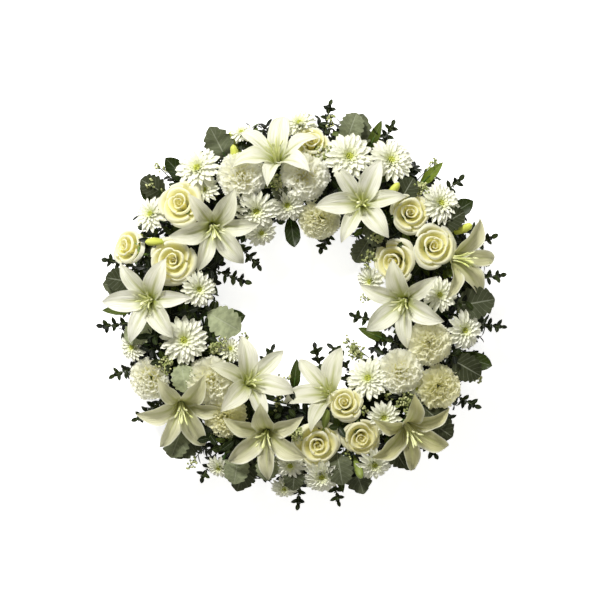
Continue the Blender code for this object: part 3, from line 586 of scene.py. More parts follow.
def make_lily(name, rng, row):
    x, y, rise, lean_to, lean, roll, whiteness_and_light = row
    place = frame_at(Vector((x, y, 0)), lean_to, lean)
    axis = place.to_3x3() @ Vector((0, 0, 1))
    place.translation = Vector((x - axis.x * LILY_THROAT, y - axis.y * LILY_THROAT,
                                crown_height(x, y) + rise - axis.z * LILY_HEIGHT))
    foot = stem_foot(place.translation.x, place.translation.y)
    place = place @ Matrix.Rotation(math.radians(roll - 30), 4, "Z")
    at = np.array(place)
    points = local_points(name, place)
    piece = Piece(name + "_bloom", "lily", pick("lily", "filament", "stem"))
    for k in range(6):
        far = farthest(points, 30 + 60 * k, 16, 4)
        if far is None or far[1] < 24:
            continue
        length, end = solve_arc(far[1] - 2, far[2] - 2)
        grid = tepal(far[0], 16.8 if k % 2 else 13.2, length, end, rng, k % 2 == 0)
        piece.patch(grid, at, 0, rng.random(), whiteness_and_light)
    for k in range(6):
        azimuth = 30 + 60 * k + rng.uniform(-6, 6)
        spread = rng.uniform(12.5, 15)
        knots = [polar(r, azimuth, z) for r, z in ((3, 6), (4.5, 24), (8.5, 40), (spread, 51))]
        piece.rod(smooth_path(knots, 9), (1.6, 1.5, 1.4, 1.3, 1.3, 1.3, 1.5, 1.4, 0.3), 6, 1, at)
    knots = [(0, 0, 6), polar(1, 270, 26), polar(3, 270, 44), polar(7, 270, 58)]
    radii = (2.6, 2.3, 1.9, 1.6, 1.5, 1.5, 1.5, 1.6, 1.9, 2.8, 2.6, 0.4)
    piece.rod(smooth_path(knots, 12), radii, 8, 1, at)
    piece.stem([foot] + [place @ Vector((0, 0, z)) for z in (-6, 3, 9)], [2.6, 2.7, 4.6, 5.6], 2)
    return piece


# Roses.

def rose_petal(size, azimuth, span, rim, top, curl, rng):
    """A flared petal: rim is its radius as a share of the bloom's, curl how far its rim rolls out."""
    rows, columns = 14, 13
    knots = [(0.05 + 0.10 * rim, 8.0), (0.04 + 0.36 * rim, 16.0), (0.02 + 0.62 * rim, 0.72 * top),
             (0.80 * rim, top - 2.6 - 2.0 * curl), (0.93 * rim, top), (rim + 0.02 * curl, top - 1.2 * curl),
             (rim + 0.07 * curl, top - 5.0 * curl)]
    profile = smooth_path([(a * size, b, 0) for a, b in knots], 40)
    reach = np.linspace(0, 1, 40)
    along = np.linspace(0, 1, rows)
    across = np.linspace(-1, 1, columns)
    grid = np.empty((rows, columns, 3))
    phase = rng.uniform(0, ANY_PHASE)
    for c, u in enumerate(across):
        v = along * (1 - 0.16 * abs(u) ** 2.8)
        radius = np.interp(v, reach, profile[:, 0])
        height = np.interp(v, reach, profile[:, 1])
        widen = 0.5 + 0.5 * np.sin(np.clip(along * 1.5, 0, 1) * math.pi / 2)
        turn = np.radians(azimuth + u * span * widen)
        radius = radius + size * 0.07 * u * along + 0.9 * np.sin(5 * u + phase) * along ** 3
        radius = (radius - size * 0.06 * abs(u) ** 3 * along
                  + size * 0.09 * curl * (1 - abs(u)) ** 2 * along ** 3)
        height = height + (0.7 + 0.9 * curl) * np.sin(4 * u + phase) * along ** 3
        grid[:, c, 0] = radius * np.cos(turn)
        grid[:, c, 1] = radius * np.sin(turn)
        grid[:, c, 2] = height
    return grid


# Radius of each petal's rim as a share of the bloom's, from the heart outwards.
ROSE_RIMS = (0.09, 0.14, 0.19, 0.26, 0.34, 0.44, 0.55, 0.67, 0.79, 0.88, 0.94, 0.97, 1.0)


def make_rose(name, rng, row):
    x, y, radius, rise, whiteness_and_light = row
    place = head_frame(x, y, rise, ROSE_HEIGHT)
    at = np.array(place)
    piece = Piece(name + "_bloom", "rose", pick("rose", "calyx", "stem"))
    start = rng.uniform(0, 360)
    for k, rim in enumerate(ROSE_RIMS):
        t = k / (len(ROSE_RIMS) - 1)
        top = 42.0 + 3.0 * math.sin(math.pi * min(1, t * 1.4)) - 11.0 * t ** 2
        span = (58 + 80 * (1 - t) ** 2) * rng.uniform(0.85, 1.15)
        curl = max(0.0, (t - 0.15) / 0.85) ** 0.7
        azimuth = start + k * GOLDEN_TURN + rng.uniform(-6, 6)
        shade = 0.25 + 0.75 * whiteness_and_light
        piece.patch(rose_petal(radius, azimuth, span, rim, top, curl, rng), at, 0, rng.random(), shade)
    calyx = [(2.6, 0), (0.20 * radius, 3), (0.36 * radius, 10), (0.40 * radius, 15), (0.30 * radius, 19)]
    piece.patch(lathe(calyx, 16), at, 1, closed=True)
    for k in range(5):
        azimuth = start + 72 * k
        knots = [polar(share * radius, azimuth, z) for share, z in ((0.34, 9), (0.62, 11), (0.86, 7))]
        piece.patch(sepal(smooth_path(knots, 7), polar(1, azimuth + 90)), at, 1)
    piece.stem([stem_foot(x, y), place @ Vector((0, 0, 1.5))], [2.6, 2.6], 2)
    return piece


def sepal(path, side):
    """A narrow trough along a path, with its width along one direction."""
    side = np.array(side)[None, :]
    up = np.array((0, 0, 1.0))[None, :]
    halves = np.array((3.2, 3.6, 3.4, 2.8, 2.0, 1.1, 0.2))[:, None]
    return np.stack([path + side * halves * u + up * halves * abs(u) * 0.2 for u in (-1.0, 0.0, 1.0)], 1)


# Carnations.

def carnation_petal(root, azimuth, rise, length, half, rng):
    """A fan with a ruffled, toothed rim."""
    rows, columns = 7, 19
    along = np.linspace(0, 1, rows) ** 0.8
    across = np.linspace(-1, 1, columns)
    out, side, top = petal_axes(azimuth)
    phase = rng.uniform(0, ANY_PHASE)
    ruffle = rng.uniform(2.4, 3.8)
    turns = rng.uniform(5.5, 8.0)
    grid = np.empty((rows, columns, 3))
    for c, u in enumerate(across):
        teeth = 0.07 * along ** 6 if c % 2 else 0.0
        reach = length * (1 - 0.13 * u * u + teeth)
        bend = np.radians(rise - 16 + 26 * along)
        radial, height = petal_line(root, bend, along, reach)
        width = half * (0.16 + 0.84 * along ** 1.15)
        wave = (ruffle * np.sin(u * turns + phase) * along ** 2
                + 1.2 * math.sin(u * 13 + phase * 2) * along ** 4)
        lean = np.radians(rise)
        radial = radial - wave * math.sin(lean)
        height = height + wave * math.cos(lean)
        grid[:, c, :] = radial[:, None] * out + height[:, None] * top + (u * width)[:, None] * side
    return grid


# Rows of petals: count, angle above the base plane, length as a share of the radius, half width as a share.
CARNATION_ROWS = [(7, 2, 1.0, 0.56), (7, 16, 0.97, 0.54), (7, 30, 0.90, 0.50), (6, 45, 0.80, 0.46),
                  (5, 59, 0.70, 0.42), (5, 72, 0.60, 0.40), (4, 84, 0.54, 0.36)]


def make_carnation(name, rng, row):
    x, y, radius, rise, whiteness_and_light = row
    place = head_frame(x, y, rise, CARNATION_HEIGHT)
    at = np.array(place)
    points = local_points(name, place)
    piece = Piece(name + "_bloom", "carnation", pick("carnation", "calyx", "stem"))
    for level, (count, lift, share, wide) in enumerate(CARNATION_ROWS):
        start = rng.uniform(0, 360)
        for k in range(count):
            azimuth = start + 360 * k / count + rng.uniform(-5, 5)
            root = (max(0.8, 11.0 - 1.7 * level), 26.0 + 0.9 * level)
            length = radius * share * rng.uniform(0.94, 1.02) - root[0] * math.cos(math.radians(lift))
            angle = lift + rng.uniform(-1.2, 1.2) * min(level, 5)
            far = farthest(points, azimuth, 22, 8)
            if far is not None and far[1] > radius * 0.5:
                steep = math.degrees(math.atan2(far[2] - 26.0, far[1] - 11.0))
                angle = max(angle, steep - 4 + 3 * level) if level < 3 else angle
                if level == 0:
                    angle = steep
                if level < 2:
                    length = min(length, math.hypot(far[1] - root[0], far[2] - root[1]) * 1.02)
            petal = carnation_petal(root, azimuth, angle, length, radius * wide, rng)
            piece.patch(petal, at, 0, rng.random(), whiteness_and_light)
    calyx = [(2.6, 0), (5.0, 1.5), (7.5, 8), (9.5, 16), (11.0, 22), (12.0, 26), (10.0, 29)]
    piece.patch(lathe(calyx, 14), at, 1, closed=True)
    piece.stem([stem_foot(x, y), place @ Vector((0, 0, 1.5))], [2.6, 2.6], 2)
    return piece


# Spray chrysanthemums.

# Rows of rays: count for a big head, length as a share of the radius, least angle above the base plane.
RAY_ROWS = [(16, 1.0, 0), (15, 0.93, 9), (14, 0.82, 20), (12, 0.68, 32), (10, 0.52, 44), (9, 0.39, 55)]
RAY_WIDTH = ((0.0, 0.2, 0.5, 0.74, 0.90, 1.0), (0.45, 0.66, 0.98, 1.0, 0.74, 0.12))


def ray(root, azimuth, reach, rise, half, rng):
    rows, columns = 7, 5
    along = np.linspace(0, 1, rows)
    across = np.linspace(-1, 1, columns)
    out, side, top = petal_axes(azimuth)
    bend = np.radians(rise + 12 - 24 * along)
    radial, height = petal_line(root, bend, along, reach)
    width = half * np.interp(along, RAY_WIDTH[0], RAY_WIDTH[1])
    lean = math.radians(rise)
    sway = rng.uniform(-0.12, 0.12) * reach * along ** 2
    grid = np.empty((rows, columns, 3))
    for c, u in enumerate(across):
        notch = 0.05 * reach * (abs(u) < 0.2) * (along > 0.95)
        groove = half * (0.62 * u * u - 0.08 * math.cos(u * 9)) * np.sin(np.pi * (0.12 + 0.8 * along))
        grid[:, c, :] = ((radial - groove * math.sin(lean) - notch)[:, None] * out
                         + (height + groove * math.cos(lean))[:, None] * top
                         + (u * width + sway)[:, None] * side)
    return grid


def disc(piece, at, radius, kind, rng):
    """The eye: a low dome of little florets, dimpled in the middle."""
    count = 24
    turn = np.linspace(0, 2 * math.pi, 7)[:6]
    for k in range(count):
        share = math.sqrt((k + 0.5) / count)
        spot = polar(radius * share, GOLDEN_TURN * k)
        height = 12.0 + 4.5 * (1 - share * share) - 4.0 * math.exp(-(share / 0.4) ** 2)
        size = radius * 0.2 * rng.uniform(0.85, 1.15)
        tall = 2.4 * rng.uniform(0.8, 1.2)
        levels = ((0.6, -1.0), (1.0, 0.5 * tall), (0.75, 0.9 * tall), (0.1, tall))
        grid = np.array([[(spot.x * (1 + 0.05 * z) + size * w * math.cos(a),
                           spot.y * (1 + 0.05 * z) + size * w * math.sin(a),
                           height + z) for a in turn] for w, z in levels])
        piece.patch(grid, at, kind, rng.random(), 1.0, closed=True)


def make_spray(name, rng, rows):
    piece = Piece(name + "_spray", "chrysanthemum", pick("mum", "disc", "calyx", "stem"))
    bases = []
    for x, y, radius, rise in rows:
        place = head_frame(x, y, rise, MUM_HEIGHT)
        at = np.array(place)
        bases.append(place @ Vector((0, 0, 1.5)))
        points = local_points(name, place)
        size = radius / 34.0
        for level, (count, share, lift) in enumerate(RAY_ROWS):
            many = max(6, int(round(count * (0.62 + 0.38 * size))))
            start = rng.uniform(0, 360)
            for k in range(many):
                azimuth = start + 360 * k / many + rng.uniform(-4, 4)
                root = (radius * (0.24 - 0.022 * level), 9.5 + 0.9 * level)
                far = farthest(points, azimuth, 24, -14, 26, radius * 1.07)
                reach = radius * share * rng.uniform(0.93, 1.03) - root[0]
                angle = lift + rng.uniform(-4, 4)
                if far is not None and far[1] > radius * 0.5:
                    steep = math.degrees(math.atan2(far[2] - 9.5, far[1] - radius * 0.25))
                    angle = steep if level == 0 else max(angle, steep + 5 * level)
                    if level == 0:
                        reach = min(reach, math.hypot(far[1] - root[0], far[2] - root[1]) * 1.02)
                half = radius * (0.116 - 0.009 * level) * rng.uniform(0.9, 1.1)
                shade = min(1.0, 1.75 - 0.25 * level)
                piece.patch(ray(root, azimuth, max(reach, 5), angle, half, rng), at, 0, rng.random(), shade)
        disc(piece, at, radius * 0.165, 1, rng)
        cup = [(1.5, -1), (3.4, 0), (radius * 0.18, 3.5), (radius * 0.27, 8), (radius * 0.24, 12)]
        piece.patch(lathe(cup, 12), at, 2, closed=True)
    if len(bases) == 1:
        piece.stem([stem_foot(rows[0][0], rows[0][1]), bases[0]], [2.3, 2.3], 3)
        return piece
    middle = sum(bases, Vector()) / len(bases)
    foot = stem_foot(middle.x, middle.y)
    fork = foot.lerp(middle, 0.55)
    fork.z = max(fork.z, FOAM_TOP + 6)
    piece.stem([foot, fork], [2.6, 2.6], 3)
    for base in bases:
        piece.stem([fork, base], [2.2, 2.2], 3)
    return piece


# Foliage.

def ring_levels(tip, links, limit):
    """The rings of corners that follow a tip, each further back along its leaf or sprig."""
    seen = {tip}
    level = [tip]
    rings = []
    while len(rings) < limit:
        level = sorted({other for corner in level for other in links[corner]} - seen)
        if not level or len(level) > 6:
            break
        seen.update(level)
        rings.append(level)
    return rings


def read_greens(name, outwards):
    """Kind, path and widths of each leaf or sprig of a CAD node, from its corners."""
    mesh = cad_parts[name].data
    raw = node_points(name)
    keys = {}
    points = []
    same = []
    for point in raw:
        key = tuple(np.round(point, 2))
        if key not in keys:
            keys[key] = len(points)
            points.append(point)
        same.append(keys[key])
    links = [set() for point in points]
    for edge in mesh.edges:
        a, b = (same[k] for k in edge.vertices)
        if a != b:
            links[a].add(b)
            links[b].add(a)
    radius = [math.hypot(point[0], point[1]) * outwards for point in points]
    arc_radius = OUTER_ARC if outwards > 0 else INNER_ARC
    greens = []
    for k, point in enumerate(points):
        if abs(radius[k]) * outwards < (arc_radius + 14) * outwards:
            continue
        if any(radius[other] >= radius[k] for other in links[k]):
            continue
        rings = ring_levels(k, links, 6)
        if len(rings) < 2:
            continue
        middles = [np.mean([points[i] for i in ring], axis=0) for ring in rings]
        widths = [max(np.linalg.norm(points[i] - points[j]) for i in ring for j in ring) for ring in rings]
        sides = len(rings[0])
        if sides == 3:
            kind = "filler"
        elif widths[1] < 6:
            kind = "boxwood" if len(widths) > 2 and widths[2] > 9 else "slim"
        elif widths[1] < 14:
            kind = "bud"
        else:
            kind = "scalloped" if len(widths) > 2 and widths[2] > 9 else "broad"
        greens.append((kind, [np.array(point)] + middles, [0.0] + widths))
    return greens


def leaf_grid(path, halves, columns, rng, lobes):
    """A leaf along a path with its half width at each row, and how deep its edge is lobed."""
    rows = len(path)
    along = np.gradient(path, axis=0)
    along /= np.linalg.norm(along, axis=1, keepdims=True) + 1e-9
    right = np.cross(along, np.array((0, 0, 1.0)))
    right /= np.linalg.norm(right, axis=1, keepdims=True) + 1e-9
    over = np.cross(right, along)
    grid = np.empty((rows, columns, 3))
    v = np.linspace(0, 1, rows)
    phase = rng.uniform(0, ANY_PHASE)
    for c, u in enumerate(np.linspace(-1, 1, columns)):
        bulge = 1 + lobes * np.abs(np.sin(v * 21.0 + (0.5 if u > 0 else 0))) * abs(u) ** 3 - lobes * 0.4
        lift = 0.22 * halves * abs(u) ** 1.6 + 0.06 * halves * np.sin(v * 14 + phase) * abs(u)
        grid[:, c, :] = path + right * (halves * u * bulge)[:, None] + over * lift[:, None]
    return grid


LEAF_SHAPES = {
    "scalloped": ((0, 0.12, 0.3, 0.55, 0.8, 0.93, 1.0), (0.05, 0.42, 0.92, 1.0, 0.78, 0.42, 0.05)),
    "broad": ((0, 0.15, 0.4, 0.65, 0.85, 0.95, 1.0), (0.05, 0.45, 0.95, 0.92, 0.55, 0.22, 0.02)),
    "slim": ((0, 0.15, 0.4, 0.65, 0.85, 0.95, 1.0), (0.08, 0.5, 0.95, 0.9, 0.52, 0.22, 0.02)),
}


def add_leaf(piece, kind, path, width, rng, kinds, tone):
    lobed = kind == "scalloped"
    rows = 41 if lobed else 15
    shape = LEAF_SHAPES[kind]
    halves = (0.62 if lobed else 0.5) * width * np.interp(np.linspace(0, 1, rows), shape[0], shape[1])
    columns, lobes = (11, 0.2) if lobed else (7, 0.0)
    grid = leaf_grid(smooth_path(path, rows), halves, columns, rng, lobes)
    piece.patch(grid, IDENTITY, kinds[kind], tone, 1.0)


def small_leaf(piece, root, way, over, length, half, tone, kind):
    """A little oval leaf from root."""
    v = np.linspace(0, 1, 6)
    shape = half * np.interp(v, (0, 0.2, 0.5, 0.8, 1.0), (0.15, 0.75, 1.0, 0.66, 0.05))
    right = np.cross(way, over)
    right /= np.linalg.norm(right) + 1e-9
    path = root + way * (v * length)[:, None] - over * (0.12 * length * v * v)[:, None]
    lines = [path + right * (shape * u)[:, None] + over * (0.25 * shape * abs(u))[:, None]
             for u in np.linspace(-1, 1, 5)]
    piece.patch(np.stack(lines, 1), IDENTITY, kind, tone, 1.0)


def unit(vector):
    return vector / (np.linalg.norm(vector) + 1e-9)


def sprig_axes(points):
    """Along a sprig, to its right and over it."""
    along = unit(points[-1] - points[0])
    right = unit(np.cross(along, (0, 0, 1.0)))
    return along, right, np.cross(right, along)


def add_boxwood(piece, path, rng, kinds):
    points = smooth_path(path, 12)
    piece.rod(points, np.linspace(1.3, 0.6, 12), 5, kinds["twig"])
    along, right, over = sprig_axes(points)
    pairs = 8
    for k in range(pairs):
        at = smooth_path(path, pairs * 4)[k * 4 + 3]
        turn = math.radians(90 * (k % 2) + rng.uniform(-20, 20))
        for sign in (-1, 1):
            aside = (right * math.cos(turn) + over * math.sin(turn)) * sign
            way = unit(aside * 1.0 + along * rng.uniform(0.45, 0.8) + over * 0.15)
            normal = unit(along * 0.9 - aside * 0.5 + over * 0.6)
            length = rng.uniform(13, 17) * (1 - 0.03 * k)
            small_leaf(piece, at, way, normal, length, rng.uniform(3.2, 4.3), rng.random(), kinds["boxwood"])
    small_leaf(piece, points[-2], along, over, 9.0, 3.6, rng.random(), kinds["boxwood"])


def add_bud(piece, path, rng, kinds):
    """A closed lily bud on its stalk: six ribs that run together in a blunt tip."""
    stalk = smooth_path(path[:2], 6)
    piece.rod(stalk, [1.6] * 6, 6, kinds["stem"])
    body = smooth_path(path[1:], 16)
    share = np.linspace(0, 1, 16)
    radii = np.interp(share, (0, 0.1, 0.3, 0.6, 0.85, 0.96, 1.0), (1.8, 2.6, 4.6, 6.4, 5.2, 2.8, 0.4))
    grid = tube(body, radii, 18)
    ribs = 0.10 * np.cos(np.arange(18) * 2 * math.pi / 6)[None, :, None]
    ribs = 1 + ribs * np.sin(share * math.pi)[:, None, None]
    ripe = 0.1 if body[-1][1] < DARK_BUDS_BELOW else 1.0
    grid = body[:, None, :] + (grid - body[:, None, :]) * ribs
    piece.patch(grid, IDENTITY, kinds["bud"], rng.random(), ripe, closed=True)


def add_filler(piece, path, rng, kinds):
    points = smooth_path(path, 12)
    piece.rod(points, np.linspace(0.9, 0.5, 12), 5, kinds["twig"])
    along, right, over = sprig_axes(points)
    turn = np.linspace(0, 2 * math.pi, 7)[:6]
    for k in range(16):
        share = 1.0 - 0.5 * rng.random() ** 1.5
        at = points[int(share * 11)]
        angle = rng.uniform(0, ANY_PHASE)
        aside = right * math.cos(angle) + over * math.sin(angle)
        tip = at + aside * rng.uniform(2.0, 6.5) + along * rng.uniform(1.0, 5.0)
        piece.rod([at, (at + tip) / 2, tip], (0.4, 0.35, 0.3), 4, kinds["twig"])
        way = unit(tip - at)
        flat_a = unit(np.cross(way, (0.3, 0.2, 0.9)))
        flat_b = np.cross(way, flat_a)
        size = rng.uniform(1.6, 2.3)
        levels = ((0.3, -0.8), (1.0, 0.2), (0.95, 1.4), (0.3, 2.2))
        grid = np.array([[tip + way * z + (flat_a * math.cos(a) + flat_b * math.sin(a)) * size * w
                          for a in turn] for w, z in levels])
        piece.patch(grid, IDENTITY, kinds["floret"], rng.random(), 1.0, closed=True)


# Places of the round heads, for the greens between and under them.
HEADS = ([(x, y, radius) for x, y, radius, rise, whiteness_and_light in ROSES + CARNATIONS]
         + [(x, y, radius) for rows in SPRAYS for x, y, radius, rise in rows])


# How far the greens stay below the dome: in the open, under the middle and the rim of a head, by a lily.
BELOW_DOME = 2
BELOW_HEAD = 42
BELOW_RIM = 27
BELOW_LILY = 20
# Where a head's middle and rim end, as shares of its radius, and how far a lily's throat reaches.
HEAD_SHARE = 0.7
RIM_SHARE = 1.15
LILY_REACH = 48


def green_limit(x, y):
    """How high a green may rise at a place, so that it stays under the heads."""
    top = crown_height(x, y) - BELOW_DOME
    for head_x, head_y, radius in HEADS:
        gap = math.hypot(x - head_x, y - head_y)
        if gap < radius * HEAD_SHARE:
            top = min(top, crown_height(head_x, head_y) - BELOW_HEAD)
        elif gap < radius * RIM_SHARE:
            top = min(top, crown_height(head_x, head_y) - BELOW_RIM)
    for head_x, head_y, rise, lean_to, lean, roll, whiteness_and_light in LILIES:
        if math.hypot(x - head_x, y - head_y) < LILY_REACH:
            top = min(top, crown_height(head_x, head_y) - BELOW_LILY)
    return top


# Shoots with small dark leaves, and the draw below which the others have broad ones.
SMALL_LEAF_SHARE = 0.72
BROAD_LEAF_BELOW = 0.92


def add_fill(piece, path, rng, kinds, leaves, size):
    """A short leafy shoot that fills the space between the blooms."""
    points = smooth_path(path, 10)
    piece.rod(points, np.linspace(1.2, 0.6, 10), 4, kinds["twig"])
    draw = rng.random()
    small = draw < SMALL_LEAF_SHARE
    leaf = kinds["boxwood"] if small else kinds["broad"] if draw < BROAD_LEAF_BELOW else kinds["slim"]
    scale = size * (1.0 if small else 1.25)
    for k in range(leaves):
        share = 0.22 + 0.78 * k / (leaves - 1)
        at = points[min(9, int(share * 9))]
        along = unit(points[min(9, int(share * 9) + 1)] - points[int(share * 9) - 1])
        right = unit(np.cross(along, (0.3, 0.2, 1.0)))
        over = np.cross(right, along)
        angle = k * 2.4 + rng.uniform(-0.4, 0.4)
        aside = right * math.cos(angle) + over * math.sin(angle)
        way = unit(aside + along * rng.uniform(0.3, 0.9))
        normal = unit(along - aside * 0.4 + np.array((0, 0, 0.5)))
        # The leaves' tones lean dark: partly painted shade in the gaps between the blooms.
        small_leaf(piece, at, way, normal, rng.uniform(12, 17) * scale, rng.uniform(3.4, 4.6) * scale,
                   rng.random() ** 2.5, leaf)


# Broad leaves between the blooms: place of the middle, direction of the tip, length, how pale from 0 to 1.
LOW_LEAVES = [
    (-178, -111, -80, 46, 0.9), (-247, -43, 200, 46, 0.9), (-118, -27, -30, 58, 0.95),
    (-99, -249, -100, 48, 0.6), (157, 171, 60, 44, 0.1), (111, 108, -60, 48, 0.2),
    (57, -249, -80, 50, 0.3), (91, 81, -120, 42, 0.3), (-190, -210, -110, 50, 0.5),
    (75, 268, 70, 46, 0.5), (262, 2, 10, 60, 0.15), (200, -170, -40, 44, 0.1),
    (-274, 36, 170, 48, 0.1), (-52, -245, -95, 44, 0.6), (248, -96, -30, 52, 0.0),
    (-30, 170, -70, 38, 0.3), (-88, 150, 20, 40, 0.1), (30, -170, -60, 42, 0.1),
    (206, -186, -35, 54, 0.0), (-226, 178, 150, 44, 0.0), (226, 128, 30, 44, 0.0),
    (-12, -262, -95, 40, 0.2), (144, -226, -60, 46, 0.1),
]


# Clusters of filler between the blooms: place.
FILLER_PLACES = [(-37, 183), (111, 99), (97, 69), (75, -69), (-9, -195), (159, -148), (-127, -64),
                 (36, 226), (-206, -90), (-30, -120), (180, 176)]

# Lily buds between the blooms: place of the tip, direction of the tip.
BUD_PLACES = [(-236, 93, 182), (-104, 240, 100), (146, 182, 50), (38, -158, 80)]
# Buds whose tips are lower in the picture than this are dark green.
DARK_BUDS_BELOW = -150


def foam_foot(x, y):
    """Where a stalk of the greens ends, just inside the foam's top."""
    foot = stem_foot(x, y)
    foot.z = FOAM_TOP - 6
    return foot


def add_low_leaf(piece, x, y, way, length, pale, rng, kinds):
    """A broad leaf just under the blooms, with its stalk down to the foam."""
    middle = Vector((x, y, crown_height(x, y) - 4))
    out = polar(1, way)
    base = middle - out * length * 0.5 - Vector((0, 0, 8))
    tip = middle + out * length * 0.5 - Vector((0, 0, 5))
    foot = foam_foot(x, y)
    piece.rod(smooth_path([foot, foot.lerp(base, 0.6), base], 8), [1.3] * 8, 6, kinds["stem"])
    path = [np.array(point) for point in (base, middle, tip)]
    add_leaf(piece, "scalloped", path, length * 0.62, rng, kinds, pale)


# Shoots: radii of the rows in the foam, spacing there, and how many of them are filler.
OUTER_ROWS = (206, 226, 246)
INNER_ROWS = (188, 168, 149)
ROW_SPACING = 23
FILLER_SHARE = 0.16
# Shoots along the edges: radii, spacing, least and greatest height, radius of the leafy stem they grow from.
OUTER_EDGE = ((262, 276), 16, 34, 74, OUTER_ARC)
INNER_EDGE = ((138,), 22, 30, 70, INNER_ARC)
# Sprays in a cluster of filler, and how far a bud reaches from its stalk.
CLUSTER = 7
BUD_LENGTH = 34


def fill_bunch(piece, middle, half, outwards, rng, kinds):
    """Shoots from the foam and from the leafy stem all over one bunch's share of the ring."""
    outer = outwards > 0

    def in_share(x, y):
        aside = abs((math.degrees(math.atan2(y, x)) - middle + 180) % 360 - 180)
        return aside < half and (math.hypot(x, y) > RING_R) == outer

    def spread_azimuths(count):
        for k in range(count):
            yield middle - half + 2 * half * (k + 0.5) / count + rng.uniform(-2, 2)

    for radius in OUTER_ROWS if outer else INNER_ROWS:
        for azimuth in spread_azimuths(max(2, int(round(math.radians(2 * half) * radius / ROW_SPACING)))):
            spot = polar(radius + rng.uniform(-6, 6), azimuth)
            end = (spot.x, spot.y, green_limit(spot.x, spot.y) - rng.uniform(0, 12))
            foot = foam_foot(spot.x, spot.y)
            knots = [foot, foot.lerp(Vector(end), 0.5) + Vector((0, 0, 4)), end]
            if rng.random() < FILLER_SHARE:
                add_filler(piece, [np.array(knot) for knot in knots], rng, kinds)
            else:
                add_fill(piece, knots, rng, kinds, 11, 1.15)
    for x, y, way, length, pale in LOW_LEAVES:
        if in_share(x, y):
            add_low_leaf(piece, x, y, way, length, pale, rng, kinds)
    for x, y in FILLER_PLACES:
        if not in_share(x, y):
            continue
        for k in range(CLUSTER):
            spot = Vector((x, y, crown_height(x, y) + rng.uniform(-6, 2)))
            spot += polar(rng.uniform(2, 16), 137 * k)
            foot = foam_foot(x, y)
            knots = [foot, foot.lerp(Vector((x, y, spot.z)), 0.7), spot]
            add_filler(piece, [np.array(knot) for knot in knots], rng, kinds)
    for x, y, way in BUD_PLACES:
        if in_share(x, y):
            tip = Vector((x, y, crown_height(x, y) + 6))
            base = tip - polar(BUD_LENGTH, way, 10)
            knots = (foam_foot(base.x, base.y), base, (tip + base) / 2, tip)
            add_bud(piece, [np.array(knot) for knot in knots], rng, kinds)
    radii, spacing, low, high, start_radius = OUTER_EDGE if outer else INNER_EDGE
    for radius in radii:
        for azimuth in spread_azimuths(int(round(math.radians(2 * half) * radius / spacing))):
            reach = radius + rng.uniform(-8, 8)
            top = rng.uniform(low, high)
            start = polar(start_radius, azimuth + rng.uniform(-2, 2), ARC_Z)
            end = polar(reach, azimuth + rng.uniform(-3, 3), top)
            add_fill(piece, [start, start.lerp(end, 0.55) + Vector((0, 0, 8)), end], rng, kinds, 10, 1.0)


# The one outer leaf that catches the light, given its palest tone as painted light: about where its tip is.
LIGHT_LEAF = (213, 202)
FOLIAGE_KINDS = ["scalloped", "broad", "slim", "boxwood", "twig", "floret", "stem", "bud"]


def make_bunch(name, middle, half, radius, outwards):
    rng = random.Random(SEEDS["foliage"] + int(middle))
    piece = Piece(name + "_greens", "foliage", pick(*FOLIAGE_KINDS))
    kinds = {kind: k for k, kind in enumerate(FOLIAGE_KINDS)}
    inside = radius - outwards * 24
    piece.stem([polar(inside, middle, ARC_Z), polar(radius, middle, ARC_Z)], [2.2, 2.2], kinds["stem"])
    arc_path = [polar(radius, middle + half * (2 * k / 12 - 1), ARC_Z) for k in range(13)]
    piece.rod(arc_path, [1.4] + [2.2] * 11 + [1.4], 8, kinds["stem"])
    for kind, path, widths in read_greens(name, outwards):
        base = path[-1]
        path = path[::-1]
        azimuth = math.degrees(math.atan2(base[1], base[0]))
        start = np.array(polar(radius, azimuth, ARC_Z))
        if kind in LEAF_SHAPES:
            piece.rod(smooth_path([start, path[0], path[1]], 8), [1.2] * 8, 6, kinds["stem"])
            # The leaf that catches the light gets the palest tone: painted light.
            light = math.hypot(path[-1][0] - LIGHT_LEAF[0], path[-1][1] - LIGHT_LEAF[1]) < 40
            add_leaf(piece, kind, path, max(widths), rng, kinds, 1.0 if light else rng.uniform(0.0, 0.45))
        elif kind == "boxwood":
            add_boxwood(piece, [start] + path, rng, kinds)
        elif kind == "bud":
            add_bud(piece, [start] + path, rng, kinds)
        else:
            add_filler(piece, [start] + path, rng, kinds)
    fill_bunch(piece, middle, half + 2, outwards, rng, kinds)
    return piece


# Holder, floor, light and camera.

def dress_holder():
    for name in ("foam_ring", "tray"):
        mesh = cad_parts[name].data
        mesh.materials.clear()
        mesh.materials.append(MATERIALS[name])


def make_stage():
    bpy.ops.mesh.primitive_plane_add(size=8, location=(0, 0, 0))
    floor = bpy.context.object
    floor.name = "floor"
    paint = Paint("floor_paper")
    grain = paint.noise(900.0, (1, 1, 1), 2.0, False)
    colour = paint.mix(paint.fit(grain, 0.2, 0.8), rgb(0.80, 0.80, 0.80), rgb(0.84, 0.84, 0.84))
    floor.data.materials.append(paint.finish(colour, 0.85, grain, 0.0002, 0.2, Emission_Strength=0.80,
                                             Emission_Color=rgb(0.995, 0.995, 1.0)))


def add_light(name, place, target, size, power, colour):
    light = bpy.data.lights.new(name, "AREA")
    light.shape = "DISK"
    light.size = size
    light.energy = power
    light.color = colour
    lamp = bpy.data.objects.new(name, light)
    lamp.location = place
    lamp.rotation_euler = (Vector(target) - Vector(place)).to_track_quat("-Z", "Y").to_euler()
    bpy.context.scene.collection.objects.link(lamp)


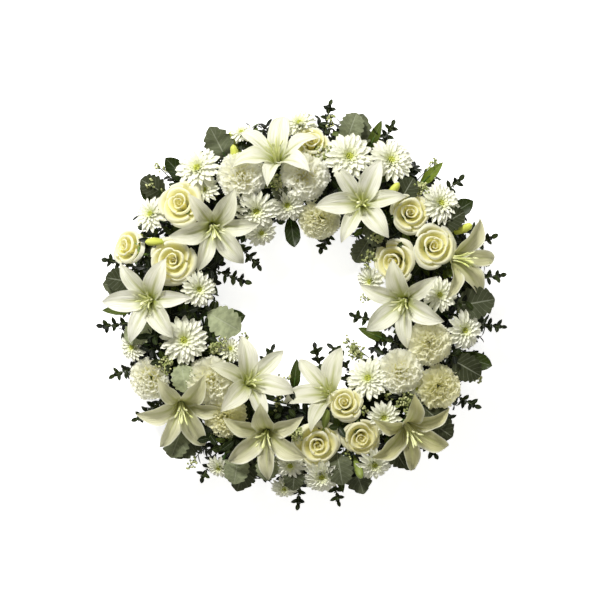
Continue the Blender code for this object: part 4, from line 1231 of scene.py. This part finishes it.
def light_and_camera():
    scene = bpy.context.scene
    add_light("key", (-0.9, 1.9, 2.3), (-0.04, 0.06, 0.05), 0.7, 120, (1.0, 0.995, 0.97))
    add_light("fill", (0.6, -0.8, 3.0), (0, 0, 0.05), 1.6, 11, (1.0, 0.98, 0.92))
    world = bpy.data.worlds.new("soft_room")
    world.use_nodes = True
    world.node_tree.nodes["Background"].inputs["Color"].default_value = rgb(1.0, 0.965, 0.83)
    world.node_tree.nodes["Background"].inputs["Strength"].default_value = 0.20
    scene.world = world
    scene.view_settings.view_transform = "Standard"
    camera = bpy.data.cameras.new("camera")
    camera.sensor_width = 36
    camera.lens = 36 * 3.5 / 0.9
    camera.clip_end = 50
    eye = bpy.data.objects.new("camera", camera)
    eye.location = (-0.003, 0.006, 3.62)
    scene.collection.objects.link(eye)
    scene.camera = eye


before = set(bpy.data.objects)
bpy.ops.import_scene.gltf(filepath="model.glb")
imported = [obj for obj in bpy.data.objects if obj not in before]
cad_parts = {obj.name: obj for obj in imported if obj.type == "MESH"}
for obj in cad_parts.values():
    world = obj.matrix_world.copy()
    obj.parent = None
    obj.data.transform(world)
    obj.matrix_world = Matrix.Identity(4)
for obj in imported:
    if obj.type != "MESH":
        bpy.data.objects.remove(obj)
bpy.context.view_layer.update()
MATERIALS = make_materials()
light_and_camera()
make_stage()
dress_holder()

pieces = []
for kind, rows, make in (("lily", LILIES, make_lily), ("rose", ROSES, make_rose),
                         ("carnation", CARNATIONS, make_carnation), ("chrysanthemum", SPRAYS, make_spray)):
    for number, row in enumerate(rows, 1):
        name = "%s_%02d" % (kind, number)
        pieces.append((name, make(name, random.Random(SEEDS[kind] + number), row)))
for side, bunches, radius, outwards in (("outer", 7, OUTER_ARC, 1), ("inner", 4, INNER_ARC, -1)):
    step = 360 / bunches
    for number in range(1, bunches + 1):
        name = "foliage_%s_%02d" % (side, number)
        pieces.append((name, make_bunch(name, (number - 0.5) * step, step / 2 - 2, radius, outwards)))
for name, piece in pieces:
    shown = piece.build()
    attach(shown, "root")
    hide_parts(name)
